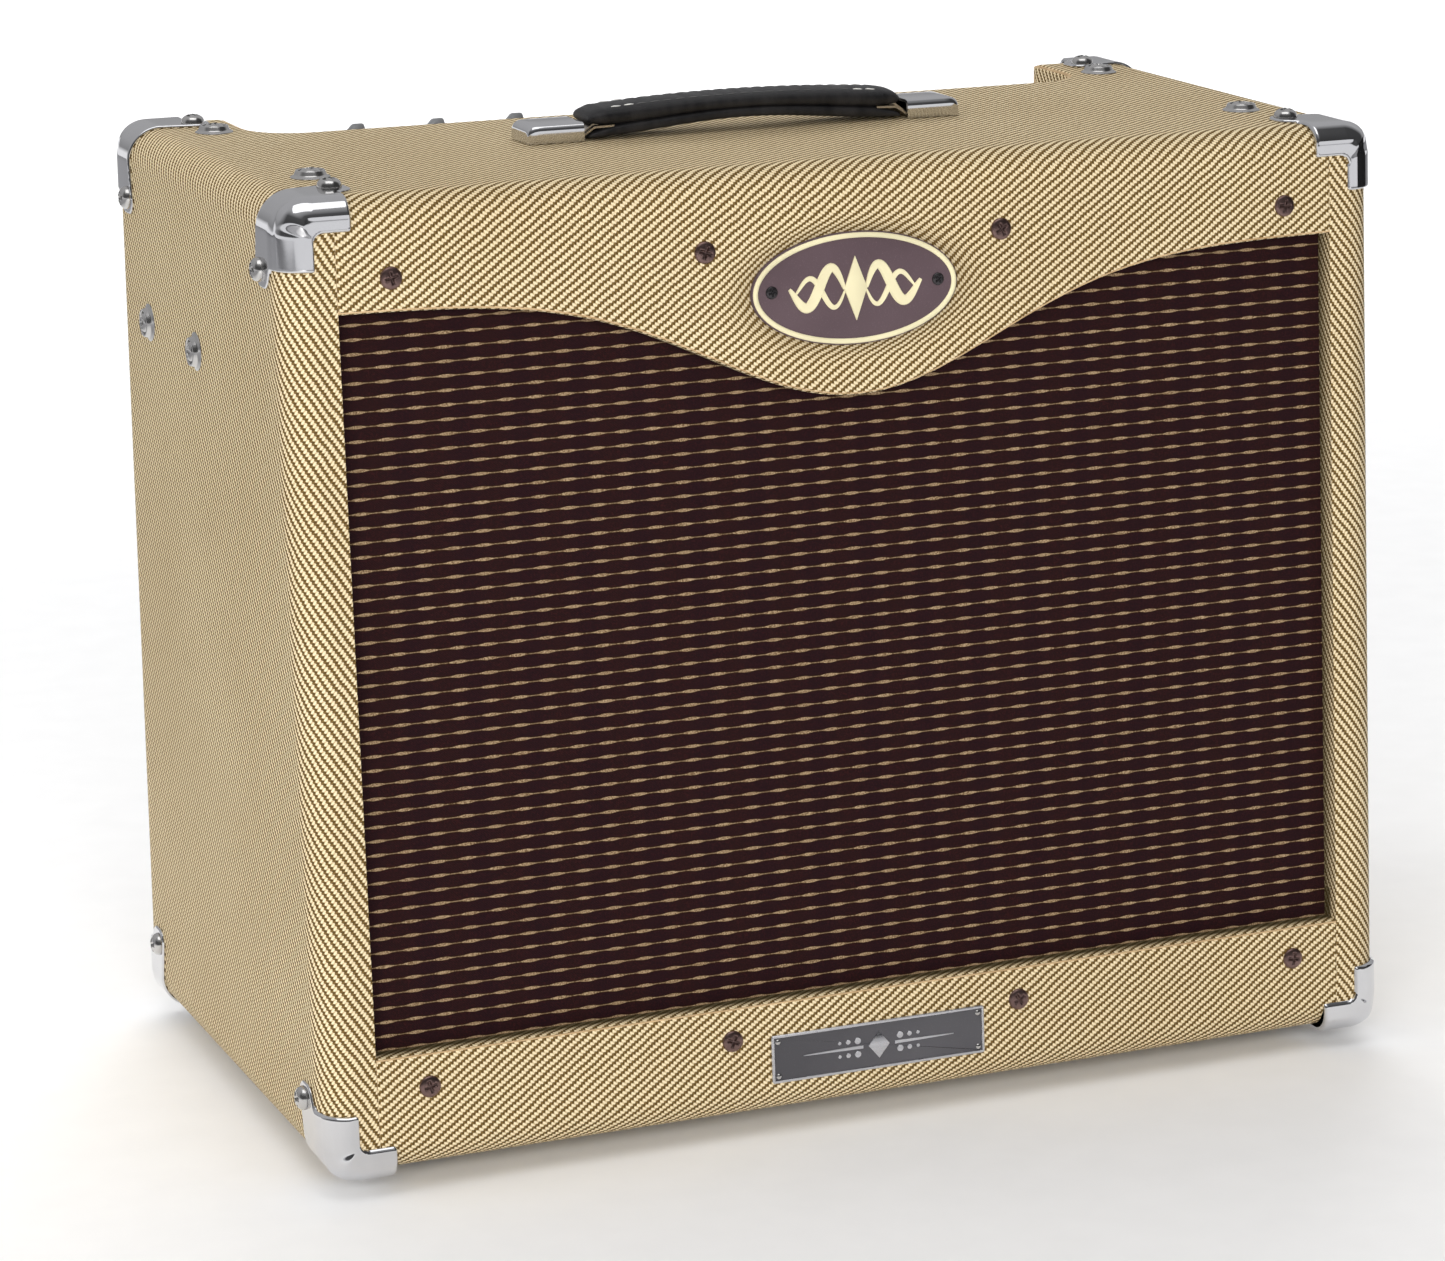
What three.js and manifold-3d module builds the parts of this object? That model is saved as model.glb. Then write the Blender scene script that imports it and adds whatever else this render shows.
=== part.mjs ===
// A tweed-covered valve guitar amplifier with one 12 inch speaker.
// Millimetres, +Z up. The front faces -Y. The floor is z = 0, under the middle of the cabinet.
import * as THREE from 'three';
import { mergeVertices } from 'three/addons/utils/BufferGeometryUtils.js';
import Module from 'manifold-3d';

const wasm = await Module();
wasm.setup();

// ---------------------------------------------------------------- driving dimensions

const GAP = 0.3; // clearance between pieces that touch

const CABINET_WIDTH = 498;
const CABINET_HEIGHT = 405.5;
const CABINET_DEPTH = 276; // at the bottom, where it is deepest
const FRONT_LEAN = 26; // how far the top of the front face stands behind its bottom
const EDGE_RADIUS = 14; // every outside edge of the cabinet
const EDGE_STEPS = 3; // facets of a quarter round
const SIDE_THICKNESS = 22;
const TOP_THICKNESS = 15;
const BOTTOM_THICKNESS = 18;

const FOOT_HEIGHT = 9;
const FOOT_RADIUS = 19;
const FOOT_INSET = 50;

const RAIL_THICKNESS = 10.3;
const TOP_RAIL_HEIGHT = 45.3; // at its ends
const TOP_RAIL_DIP = 51.5; // how much lower its middle hangs
const TOP_RAIL_SPREAD = 93; // the width scale of the hanging middle
const BOTTOM_RAIL_HEIGHT = 50.2;
const CLOTH_THICKNESS = 0.8;
const BAFFLE_THICKNESS = 15;

const SPEAKER_HEIGHT = 190; // of the speaker's axis at the front face
const BAFFLE_HOLE_RADIUS = 141;

const CUTOUT_HALF_WIDTH = 202; // of the opening over the control panel
const CUTOUT_FRONT = 71.5;
const CUTOUT_INNER_RADIUS = 25;
const CUTOUT_OUTER_RADIUS = 12;

const SPEAKER_SIDES = 24; // of the speaker's turned pieces

const CHASSIS_HALF_LENGTH = 224;
const CHASSIS_FRONT = -62;
const CHASSIS_REAR = 122;
const CHASSIS_BOTTOM = 325;
const CHASSIS_SHEET = 1.5;
const PANEL_REAR_HEIGHT = 386.4; // where the control panel folds down into the rear face
const PANEL_SLOPE = THREE.MathUtils.degToRad(12);
const CONTROL_ROW = 93; // y of the row of controls on the panel
const REAR_ROW = 357; // z of the row of sockets and switches on the chassis's rear face

const KNOB_PITCH = 37.5;
const KNOB_HEIGHT = 21;
const KNOB_NAMES = ['treble', 'middle', 'bass', 'reverb', 'normal', 'lead_post', 'lead_pre'];
const FIRST_KNOB = -155;
const SHAFT_RADIUS = 3;
const LAMP_X = -186;
const BUTTONS = { boost_button: 108, channel_button: 132 };
const INPUT_JACKS = { input_jack_low: 158, input_jack_high: 184 };
const REAR_JACKS = { footswitch_jack: 150, speaker_jack: 185 };
const TOGGLES = { power_toggle: -120, standby_toggle: -95 };
const TOGGLE_TILT = THREE.MathUtils.degToRad(12.5);
const INLET_X = -182;
const INLET_HALF = [14, 10]; // of its body, across and up
const FUSE_X = -148;
const FUSE_BODY = 6;
const LAMP_BODY = 5;
const BUTTON_RADIUS = 4.5;

const JACK_BORE = 3.6;
const JACK_NOSE = 6;

const TUBE_ROW = 92; // y of the row of valves under the chassis
const POWER_TUBES = [20, 70, 120, 170];
const PREAMP_TUBES = [-160, -110, -60];
const POWER_TUBE_LENGTH = 64;
const PREAMP_TUBE_LENGTH = 50;
const TUBE_RADIUS = 11;
const SOCKET_RADIUS = 13.4;
const SPIGOT_RADIUS = 8;

const HANDLE_X = -3;
const HANDLE_Y = 1.5;
const HANDLE_WIDTH = 25;
const STRAP_HALF_LENGTH = 75;
const CAP_START = 76.3; // from the handle's middle
const CAP_LENGTH = 25.5;
const CAP_HEIGHT = 8.4;

const PROTECTOR_SHEET = 1.4;
const PROTECTOR_SCREW = 5.2;
const LIP_WIDTH = 13.7; // of the L on the front or rear face
const LIP_LENGTH = 29.5;
const TAB_LOBE = 7.5; // the round end of a tab, about its screw
const TAB_SCREW = [29.5, 26]; // from the neighbouring side face, and from the front or rear face

const BADGE_HEIGHT = 352.1; // above the bottom of the cabinet
const BADGE_HALF = [47, 24];
const BADGE_RIM = 2.6;
const PLATE_HEIGHT = 25.5;
const PLATE_HALF = [50.2, 10.6];

// ---------------------------------------------------------------- derived places

const SIDE = CABINET_WIDTH / 2;
const BASE = FOOT_HEIGHT;
const TOP = BASE + CABINET_HEIGHT;
const REAR = CABINET_DEPTH / 2;
const FRONT_BOTTOM = -CABINET_DEPTH / 2;
const LEAN = Math.atan(FRONT_LEAN / CABINET_HEIGHT);
const INNER_SIDE = SIDE - SIDE_THICKNESS;
const INNER_TOP = TOP - TOP_THICKNESS;
const INNER_BASE = BASE + BOTTOM_THICKNESS;
const BAFFLE_FRONT = RAIL_THICKNESS + CLOTH_THICKNESS + 2 * GAP;
const BAFFLE_BACK = BAFFLE_FRONT + BAFFLE_THICKNESS;
const FAR = 400; // past every face of the object

// y of the front face at a height, moved out of the cabinet by a distance
function frontAt(z, out = 0) {
  return FRONT_BOTTOM + (z - BASE) * Math.tan(LEAN) - out / Math.cos(LEAN);
}

// z of the control panel's surface
function panelAt(y) {
  return PANEL_REAR_HEIGHT + (CHASSIS_REAR - y) * Math.tan(PANEL_SLOPE);
}

// ---------------------------------------------------------------- solids

function signedVolume(positions, index) {
  const a = new THREE.Vector3();
  const b = new THREE.Vector3();
  const c = new THREE.Vector3();
  let volume = 0;
  for (let i = 0; i < index.length; i += 3) {
    a.fromBufferAttribute(positions, index[i]);
    b.fromBufferAttribute(positions, index[i + 1]);
    c.fromBufferAttribute(positions, index[i + 2]);
    volume += a.dot(b.cross(c)) / 6;
  }
  return volume;
}

// A closed three.js geometry as a solid, with its faces turned outwards.
function solidOf(geometry) {
  const bare = geometry.clone();
  bare.deleteAttribute('normal');
  bare.deleteAttribute('uv');
  const merged = mergeVertices(bare, 1e-4);
  const corners = merged.getIndex().array;
  const kept = [];
  for (let i = 0; i < corners.length; i += 3) {
    const [a, b, c] = [corners[i], corners[i + 1], corners[i + 2]];
    if (a !== b && b !== c && c !== a) kept.push(a, b, c);
  }
  const positions = merged.getAttribute('position');
  if (signedVolume(positions, kept) < 0) kept.reverse();
  const mesh = new wasm.Mesh({
    numProp: 3,
    vertProperties: new Float32Array(positions.array),
    triVerts: new Uint32Array(kept),
  });
  return new wasm.Manifold(mesh);
}

function geometryOf(solid) {
  const mesh = solid.getMesh();
  const geometry = new THREE.BufferGeometry();
  geometry.setAttribute('position', new THREE.BufferAttribute(mesh.vertProperties, 3));
  geometry.setIndex(new THREE.BufferAttribute(mesh.triVerts, 1));
  geometry.computeVertexNormals();
  return geometry;
}

function joined(solids) {
  return solids.reduce((whole, solid) => whole.add(solid));
}

function box(x, y, z) {
  const geometry = new THREE.BoxGeometry(x[1] - x[0], y[1] - y[0], z[1] - z[0]);
  geometry.translate((x[0] + x[1]) / 2, (y[0] + y[1]) / 2, (z[0] + z[1]) / 2);
  return solidOf(geometry);
}

// A closed outline of [a, b, radius] corners, the radius left out where a corner is sharp.
function outline(corners) {
  const shape = new THREE.Shape();
  corners.forEach(([a, b, radius = 0], i) => {
    const corner = new THREE.Vector2(a, b);
    const before = corners[(i + corners.length - 1) % corners.length];
    const after = corners[(i + 1) % corners.length];
    const into = corner.clone().sub(new THREE.Vector2(before[0], before[1])).normalize();
    const away = new THREE.Vector2(after[0], after[1]).sub(corner).normalize();
    const turn = into.cross(away);
    const reach = radius * Math.tan(Math.acos(THREE.MathUtils.clamp(into.dot(away), -1, 1)) / 2);
    const start = corner.clone().addScaledVector(into, -reach);
    if (i === 0) shape.moveTo(start.x, start.y);
    else shape.lineTo(start.x, start.y);
    if (radius === 0) return;
    const side = Math.sign(turn);
    const centre = start.clone().add(new THREE.Vector2(-into.y, into.x).multiplyScalar(radius * side));
    const end = corner.clone().addScaledVector(away, reach);
    const from = Math.atan2(start.y - centre.y, start.x - centre.x);
    const to = Math.atan2(end.y - centre.y, end.x - centre.x);
    shape.absarc(centre.x, centre.y, radius, from, to, side < 0);
  });
  shape.closePath();
  return shape;
}

// For each axis: the world directions of an outline's first and second numbers.
const PLANES = {
  x: [new THREE.Vector3(0, 1, 0), new THREE.Vector3(0, 0, 1), new THREE.Vector3(1, 0, 0)],
  y: [new THREE.Vector3(1, 0, 0), new THREE.Vector3(0, 0, 1), new THREE.Vector3(0, 1, 0)],
  z: [new THREE.Vector3(1, 0, 0), new THREE.Vector3(0, 1, 0), new THREE.Vector3(0, 0, 1)],
};

// An outline carried along an axis from one place to another.
function prism(axis, corners, from, to, steps = EDGE_STEPS) {
  const shape = corners instanceof THREE.Shape ? corners : outline(corners);
  const settings = { depth: to - from, bevelEnabled: false, curveSegments: steps };
  const geometry = new THREE.ExtrudeGeometry(shape, settings);
  geometry.translate(0, 0, from);
  geometry.applyMatrix4(new THREE.Matrix4().makeBasis(...PLANES[axis]));
  return solidOf(geometry);
}

// A profile of [radius, height] points turned about the z axis.
function turned(points, segments) {
  const profile = points.map(([radius, height]) => new THREE.Vector2(radius, height));
  const geometry = new THREE.LatheGeometry(profile, segments);
  geometry.rotateX(Math.PI / 2);
  return solidOf(geometry);
}

function rod(radius, from, to, segments = 12) {
  return turned([[0, from], [radius, from], [radius, to], [0, to]], segments);
}

function moved(solid, matrix) {
  return solid.transform(matrix.elements);
}

function shifted(solid, x, y, z) {
  return moved(solid, new THREE.Matrix4().makeTranslation(x, y, z));
}

// The front face's own frame: x along it, y up it, z straight out of it.
function onFront(x, z) {
  const up = new THREE.Vector3(0, Math.sin(LEAN), Math.cos(LEAN));
  const out = new THREE.Vector3(0, -Math.cos(LEAN), Math.sin(LEAN));
  const matrix = new THREE.Matrix4().makeBasis(new THREE.Vector3(1, 0, 0), up, out);
  return matrix.setPosition(x, frontAt(z), z);
}

// The control panel's own frame: x along it, y down its slope, z straight out of it.
function onPanel(x, y = CONTROL_ROW) {
  const down = new THREE.Vector3(0, Math.cos(PANEL_SLOPE), -Math.sin(PANEL_SLOPE));
  const out = new THREE.Vector3(0, Math.sin(PANEL_SLOPE), Math.cos(PANEL_SLOPE));
  const matrix = new THREE.Matrix4().makeBasis(new THREE.Vector3(1, 0, 0), down, out);
  return matrix.setPosition(x, y, panelAt(y));
}

// The chassis's rear face: z straight out of it, towards the rear.
function onRear(x, z = REAR_ROW) {
  const across = new THREE.Vector3(-1, 0, 0);
  const up = new THREE.Vector3(0, 0, 1);
  const out = new THREE.Vector3(0, 1, 0);
  return new THREE.Matrix4().makeBasis(across, up, out).setPosition(x, CHASSIS_REAR, z);
}

// ---------------------------------------------------------------- materials and the assembly

function finish(color, roughness, metalness = 0) {
  return new THREE.MeshStandardMaterial({ color, roughness, metalness });
}

const tweed = finish('#c9a873', 0.85);
const cloth = finish('#35222b', 0.9);
const plywood = finish('#b58a56', 0.8);
const chrome = finish('#d4d6d8', 0.12, 1);
const steel = finish('#a5a8aa', 0.35, 1);
const darkSteel = finish('#3a3b3d', 0.5, 0.8);
const blackPlastic = finish('#161616', 0.5);
const greyPlastic = finish('#7c7e80', 0.45);
const rubber = finish('#1b1b1b', 0.9);
const glass = finish('#d8e0e2', 0.08);
const jewel = finish('#b3121d', 0.15);
const paper = finish('#2b2a29', 0.95);
const boardGreen = finish('#33533a', 0.6);
const badge = finish('#5a4a50', 0.55);

const amplifier = new THREE.Group();
amplifier.name = 'guitar_amplifier';

function addPart(name, solid, material) {
  const mesh = new THREE.Mesh(geometryOf(solid), material);
  mesh.name = name;
  amplifier.add(mesh);
}

// ---------------------------------------------------------------- cabinet

// The whole outside of the cabinet, with every face moved out by a distance.
function cabinetBlock(out) {
  const low = BASE - out;
  const high = TOP + out;
  const side = SIDE + out;
  const rear = REAR + out;
  const radius = EDGE_RADIUS + out;
  const profile = [
    [frontAt(low, out), low, radius],
    [rear, low, radius],
    [rear, high, radius],
    [frontAt(high, out), high, radius],
  ];
  const face = [
    [-side, low, radius],
    [side, low, radius],
    [side, high, radius],
    [-side, high, radius],
  ];
  const planRear = [
    [-side, -FAR],
    [side, -FAR],
    [side, rear, radius],
    [-side, rear, radius],
  ];
  const planFront = [
    [-side, frontAt(BASE, out), radius],
    [side, frontAt(BASE, out), radius],
    [side, FAR],
    [-side, FAR],
  ];
  const lean = new THREE.Matrix4().makeShear(0, 0, 0, 0, 0, Math.tan(LEAN));
  const shear = new THREE.Matrix4().makeTranslation(0, 0, BASE).multiply(lean);
  return prism('x', profile, -side - 1, side + 1)
    .intersect(prism('y', face, -FAR, FAR))
    .intersect(prism('z', planRear, low - 1, high + 1))
    .intersect(moved(prism('z', planFront, low - BASE - 1, high - BASE + 1), shear));
}

// Everything from outside the front face to a depth behind it.
function frontSlab(depth, low = BASE - 30, high = TOP + 30) {
  const slab = [
    [frontAt(low, 30), low],
    [frontAt(low, -depth), low],
    [frontAt(high, -depth), high],
    [frontAt(high, 30), high],
  ];
  return prism('x', slab, -INNER_SIDE + GAP, INNER_SIDE - GAP);
}

const block = cabinetBlock(0);
const between = [-INNER_SIDE + GAP, INNER_SIDE - GAP];

function sidePanel(side) {
  const range = side < 0 ? [-SIDE - 1, -INNER_SIDE] : [INNER_SIDE, SIDE + 1];
  return block.intersect(box(range, [-FAR, FAR], [0, FAR + TOP]));
}

function topPanel() {
  const board = block
    .intersect(box(between, [-FAR, FAR], [INNER_TOP, FAR + TOP]))
    .subtract(frontSlab(RAIL_THICKNESS + GAP));
  const opening = [
    [-CUTOUT_HALF_WIDTH, CUTOUT_FRONT, CUTOUT_INNER_RADIUS],
    [CUTOUT_HALF_WIDTH, CUTOUT_FRONT, CUTOUT_INNER_RADIUS],
    [CUTOUT_HALF_WIDTH, REAR, CUTOUT_OUTER_RADIUS],
    [CUTOUT_HALF_WIDTH + CUTOUT_OUTER_RADIUS * 2, REAR],
    [CUTOUT_HALF_WIDTH + CUTOUT_OUTER_RADIUS * 2, FAR],
    [-CUTOUT_HALF_WIDTH - CUTOUT_OUTER_RADIUS * 2, FAR],
    [-CUTOUT_HALF_WIDTH - CUTOUT_OUTER_RADIUS * 2, REAR],
    [-CUTOUT_HALF_WIDTH, REAR, CUTOUT_OUTER_RADIUS],
  ];
  return board.subtract(prism('z', opening, INNER_TOP - 10, TOP + 10));
}

function bottomPanel() {
  return block
    .intersect(box(between, [-FAR, FAR], [0, INNER_BASE]))
    .subtract(frontSlab(RAIL_THICKNESS + GAP));
}

// The lower edge of the top rail, a smooth bell that hangs down round the badge.
function topRailEdge(x) {
  const high = TOP - TOP_RAIL_HEIGHT;
  return high - TOP_RAIL_DIP * Math.exp(-((x / TOP_RAIL_SPREAD) ** 2));
}

function topRail() {
  const steps = 36;
  const corners = [];
  for (let i = 0; i <= steps; i += 1) {
    const x = -INNER_SIDE + (2 * INNER_SIDE * i) / steps;
    corners.push([x, topRailEdge(x)]);
  }
  corners.push([INNER_SIDE, TOP + 1], [-INNER_SIDE, TOP + 1]);
  return block.intersect(frontSlab(RAIL_THICKNESS)).intersect(prism('y', corners, -FAR, FAR));
}

function bottomRail() {
  const bar = box([-FAR, FAR], [-FAR, FAR], [0, BASE + BOTTOM_RAIL_HEIGHT]);
  return block.intersect(frontSlab(RAIL_THICKNESS)).intersect(bar);
}

function sheetBehindFront(depth, thickness) {
  const low = INNER_BASE + GAP;
  const high = INNER_TOP - GAP;
  return frontSlab(depth + thickness, low, high).subtract(frontSlab(depth, low - 1, high + 1));
}

function baffleBoard() {
  const hole = moved(rod(BAFFLE_HOLE_RADIUS, -60, 60, 40), onFront(0, SPEAKER_HEIGHT));
  return sheetBehindFront(BAFFLE_FRONT, BAFFLE_THICKNESS).subtract(hole);
}

function lowerRearPanel() {
  return box(between, [REAR - 12, REAR], [INNER_BASE + GAP, 150]);
}

addPart('side_panel_left', sidePanel(-1), tweed);
addPart('side_panel_right', sidePanel(1), tweed);
addPart('top_panel', topPanel(), tweed);
addPart('bottom_panel', bottomPanel(), tweed);
addPart('front_top_rail', topRail(), tweed);
addPart('front_bottom_rail', bottomRail(), tweed);
addPart('baffle_board', baffleBoard(), plywood);
addPart('grille_cloth', sheetBehindFront(RAIL_THICKNESS + GAP, CLOTH_THICKNESS), cloth);
addPart('lower_rear_panel', lowerRearPanel(), tweed);

for (const [end, y] of [['front', FRONT_BOTTOM + FOOT_INSET], ['rear', REAR - FOOT_INSET]]) {
  for (const [hand, side] of [['left', -1], ['right', 1]]) {
    const section = [[0, 0], [16, 0], [FOOT_RADIUS, 2], [FOOT_RADIUS - 1, BASE], [0, BASE]];
    const foot = turned(section, 20);
    addPart(`foot_${end}_${hand}`, shifted(foot, side * (SIDE - FOOT_INSET), y, 0), rubber);
  }
}

// ---------------------------------------------------------------- corner protectors

const protectorSkin = cabinetBlock(GAP + PROTECTOR_SHEET).subtract(cabinetBlock(GAP));

// The tab on one face. The two numbers are the distances from the neighbouring side face and
// from the front or rear face.
const TAB_OUTLINE = [
  [-5, -5],
  [TAB_SCREW[0], -5],
  [TAB_SCREW[0], 13, 3],
  [TAB_SCREW[0] + TAB_LOBE, TAB_SCREW[1] - TAB_LOBE, TAB_LOBE - 1],
  [TAB_SCREW[0] + TAB_LOBE, TAB_SCREW[1] + TAB_LOBE, TAB_LOBE - 1],
  [12, TAB_SCREW[1] + 3, 12],
  [-5, TAB_SCREW[1] + 3],
];
// A pressed three-way corner: an L on the front or rear face, and a tab on each side of it.
function cornerProtector(hand, front, high) {
  const faceY = front ? frontAt(high ? TOP : BASE) : REAR;
  const inward = front ? 1 : -1;
  const edgeZ = high ? TOP : BASE;
  const down = high ? -1 : 1;
  const placeX = (u) => hand * (SIDE - u);
  const placeY = (v, z) => (front ? frontAt(z) + v : REAR - v);
  const placeZ = (w) => edgeZ + down * w;

  const lip = [
    [-5, -5],
    [LIP_LENGTH, -5],
    [LIP_LENGTH, LIP_WIDTH],
    [LIP_WIDTH, LIP_WIDTH, 4],
    [LIP_WIDTH, LIP_LENGTH - 1.5],
    [-5, LIP_LENGTH - 1.5],
  ].map(([u, w, radius]) => [placeX(u), placeZ(w), radius]);
  const lipEnds = [faceY - inward * 20, faceY + inward * EDGE_RADIUS].sort((a, b) => a - b);

  const flatTab = TAB_OUTLINE.map(([u, v, radius]) => [placeX(u), placeY(v, edgeZ), radius]);
  const flatEnds = [edgeZ - down * 5, edgeZ + down * EDGE_RADIUS].sort((a, b) => a - b);

  const sideTab = TAB_OUTLINE.map(([w, v, radius]) => [placeY(v, placeZ(w)), placeZ(w), radius]);
  const sideEnds = [placeX(-5), placeX(EDGE_RADIUS)].sort((a, b) => a - b);

  const reach = joined([
    prism('y', lip, ...lipEnds, 2),
    prism('z', flatTab, ...flatEnds, 2),
    prism('x', sideTab, ...sideEnds, 2),
  ]);
  const lift = GAP + PROTECTOR_SHEET - 0.5;
  const dome = turned([[0, 0], [PROTECTOR_SCREW, 0], [3.6, 2.5], [0, 3.3]], 10);
  const flatScrew = moved(
    dome,
    new THREE.Matrix4()
      .makeTranslation(placeX(TAB_SCREW[0]), placeY(TAB_SCREW[1], edgeZ), placeZ(-lift))
      .multiply(new THREE.Matrix4().makeRotationX(high ? 0 : Math.PI)),
  );
  const sideScrewZ = placeZ(TAB_SCREW[0]);
  const sideScrew = moved(
    dome,
    new THREE.Matrix4()
      .makeTranslation(placeX(-lift), placeY(TAB_SCREW[1], sideScrewZ), sideScrewZ)
      .multiply(new THREE.Matrix4().makeRotationY((hand * Math.PI) / 2)),
  );
  return joined([protectorSkin.intersect(reach), flatScrew, sideScrew]);
}

for (const [end, front] of [['front', true], ['rear', false]]) {
  for (const [level, high] of [['top', true], ['bottom', false]]) {
    for (const [side, hand] of [['left', -1], ['right', 1]]) {
      addPart(`corner_${end}_${level}_${side}`, cornerProtector(hand, front, high), chrome);
    }
  }
}

// ---------------------------------------------------------------- badge and plate

function lifted(height) {
  return new THREE.Matrix4().makeTranslation(0, 0, height);
}

function ellipse(halfWidth, halfHeight) {
  const shape = new THREE.Shape();
  shape.absellipse(0, 0, halfWidth, halfHeight, 0, Math.PI * 2);
  return shape;
}

// An oval with a raised rim round its field.
function ovalBadge() {
  const steps = 28;
  const field = 2.4;
  const rim = 3.4;
  const [across, up] = BADGE_HALF;
  const plate = prism('z', ellipse(across, up), 0, rim, steps);
  const hollow = prism('z', ellipse(across - BADGE_RIM, up - BADGE_RIM), field, rim + 1, steps);
  return moved(plate.subtract(hollow), onFront(0, BASE + BADGE_HEIGHT).multiply(lifted(GAP)));
}

// A thin plate held by a round-headed pin near each corner.
function namePlate() {
  const [across, up] = PLATE_HALF;
  const corners = [[-across, -up], [across, -up], [across, up], [-across, up]];
  const plate = prism('z', corners, 0, 1.3);
  const pins = corners.map(([x, y]) => {
    const pin = rod(1.5, 1, 2, 8);
    return shifted(pin, x - Math.sign(x) * 3, y - Math.sign(y) * 3, 0);
  });
  return moved(joined([plate, ...pins]), onFront(0, BASE + PLATE_HEIGHT).multiply(lifted(GAP)));
}

addPart('oval_badge', ovalBadge(), badge);
addPart('name_plate', namePlate(), steel);

// ---------------------------------------------------------------- carrying handle

// The padded strap, with the ends of the steel band that runs inside it.
function handleStrap() {
  const steps = 20;
  const endRound = 4;
  const bevel = 3;
  const corners = [];
  const inner = STRAP_HALF_LENGTH - bevel;
  for (let i = 0; i <= steps; i += 1) {
    const x = -inner + (2 * inner * i) / steps;
    corners.push([x, 1.3 + 4.4 * Math.cos((Math.PI * x) / 2 / STRAP_HALF_LENGTH) ** 2 + bevel]);
  }
  for (let i = steps; i >= 0; i -= 1) {
    const x = -inner + (2 * inner * i) / steps;
    const atEnd = i === 0 || i === steps ? endRound : 0;
    corners.push([x, 16.6 - 3.2 * (x / STRAP_HALF_LENGTH) ** 2 - bevel - atEnd]);
  }
  const padded = new THREE.ExtrudeGeometry(outline(corners), {
    depth: HANDLE_WIDTH - 2 * bevel,
    bevelThickness: bevel,
    bevelSize: bevel,
    bevelSegments: 2,
  });
  padded.translate(0, 0, -HANDLE_WIDTH / 2 + bevel);
  padded.applyMatrix4(new THREE.Matrix4().makeBasis(...PLANES.y));
  const strap = solidOf(padded);
  const bandTop = [[60, 6.2], [73, 6.2], [78, 2], [97, 2]];
  const bandUnder = [[97, 1], [77.5, 1], [72.5, 5.2], [60, 5.2]];
  const bands = [-1, 1].map((side) => {
    const section = [...bandTop, ...bandUnder].map(([x, z]) => [side * x, z]);
    return prism('y', section, -8, 8);
  });
  return shifted(joined([strap, ...bands]), HANDLE_X, HANDLE_Y, TOP);
}

// A pressed cap over one end of the band, open towards the strap and underneath.
function handleCap(side) {
  const end = CAP_START + CAP_LENGTH;
  const profile = [
    [side * CAP_START, GAP],
    [side * end, GAP],
    [side * end, CAP_HEIGHT, 3],
    [side * CAP_START, CAP_HEIGHT, 1.2],
  ];
  const shell = prism('y', profile, -12, 12);
  const wall = 1.5;
  const inEnd = [side * (CAP_START - 5), side * (end - 2 * wall)].sort((a, b) => a - b);
  const hollow = box(inEnd, [-12 + wall, 12 - wall], [-5, CAP_HEIGHT - 1]);
  return shifted(shell.subtract(hollow), HANDLE_X, HANDLE_Y, TOP);
}

addPart('handle_strap', handleStrap(), blackPlastic);
addPart('handle_cap_left', handleCap(-1), chrome);
addPart('handle_cap_right', handleCap(1), chrome);

// ---------------------------------------------------------------- chassis

const knobPlaces = KNOB_NAMES.map((name, i) => FIRST_KNOB + i * KNOB_PITCH);
const tubePlaces = [...PREAMP_TUBES, ...POWER_TUBES];

// A folded steel tray: floor, front wall, rear face, sloping control panel and two ends.
function chassisTray() {
  const high = INNER_TOP - GAP;
  const panelFront = CHASSIS_REAR - (high - PANEL_REAR_HEIGHT) / Math.tan(PANEL_SLOPE);
  const outside = [
    [CHASSIS_FRONT, CHASSIS_BOTTOM],
    [CHASSIS_REAR, CHASSIS_BOTTOM],
    [CHASSIS_REAR, PANEL_REAR_HEIGHT],
    [panelFront, high],
    [CHASSIS_FRONT, high],
  ];
  const sheet = CHASSIS_SHEET;
  const lipFront = panelFront - 6;
  const innerRear = CHASSIS_REAR - sheet;
  const drop = sheet / Math.cos(PANEL_SLOPE);
  const inside = [
    [CHASSIS_FRONT + sheet, CHASSIS_BOTTOM + sheet],
    [innerRear, CHASSIS_BOTTOM + sheet],
    [innerRear, panelAt(innerRear) - drop],
    [panelFront + 6, panelAt(panelFront + 6) - drop],
    [panelFront + 6, high - drop],
    [lipFront, high - drop],
    [lipFront, high + 10],
    [CHASSIS_FRONT + sheet, high + 10],
  ];
  const tray = prism('x', outside, -CHASSIS_HALF_LENGTH, CHASSIS_HALF_LENGTH);
  const hollow = prism('x', inside, -CHASSIS_HALF_LENGTH + sheet, CHASSIS_HALF_LENGTH - sheet);
  return tray.subtract(hollow);
}

function panelHole(x, radius, sides = 12) {
  return moved(rod(radius, -4, 4, sides), onPanel(x));
}

function rearHole(x, radius, sides = 12) {
  return moved(rod(radius, -4, 4, sides), onRear(x));
}

function rectangle(halfWidth, halfHeight) {
  return [
    [-halfWidth, -halfHeight],
    [halfWidth, -halfHeight],
    [halfWidth, halfHeight],
    [-halfWidth, halfHeight],
  ];
}

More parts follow.
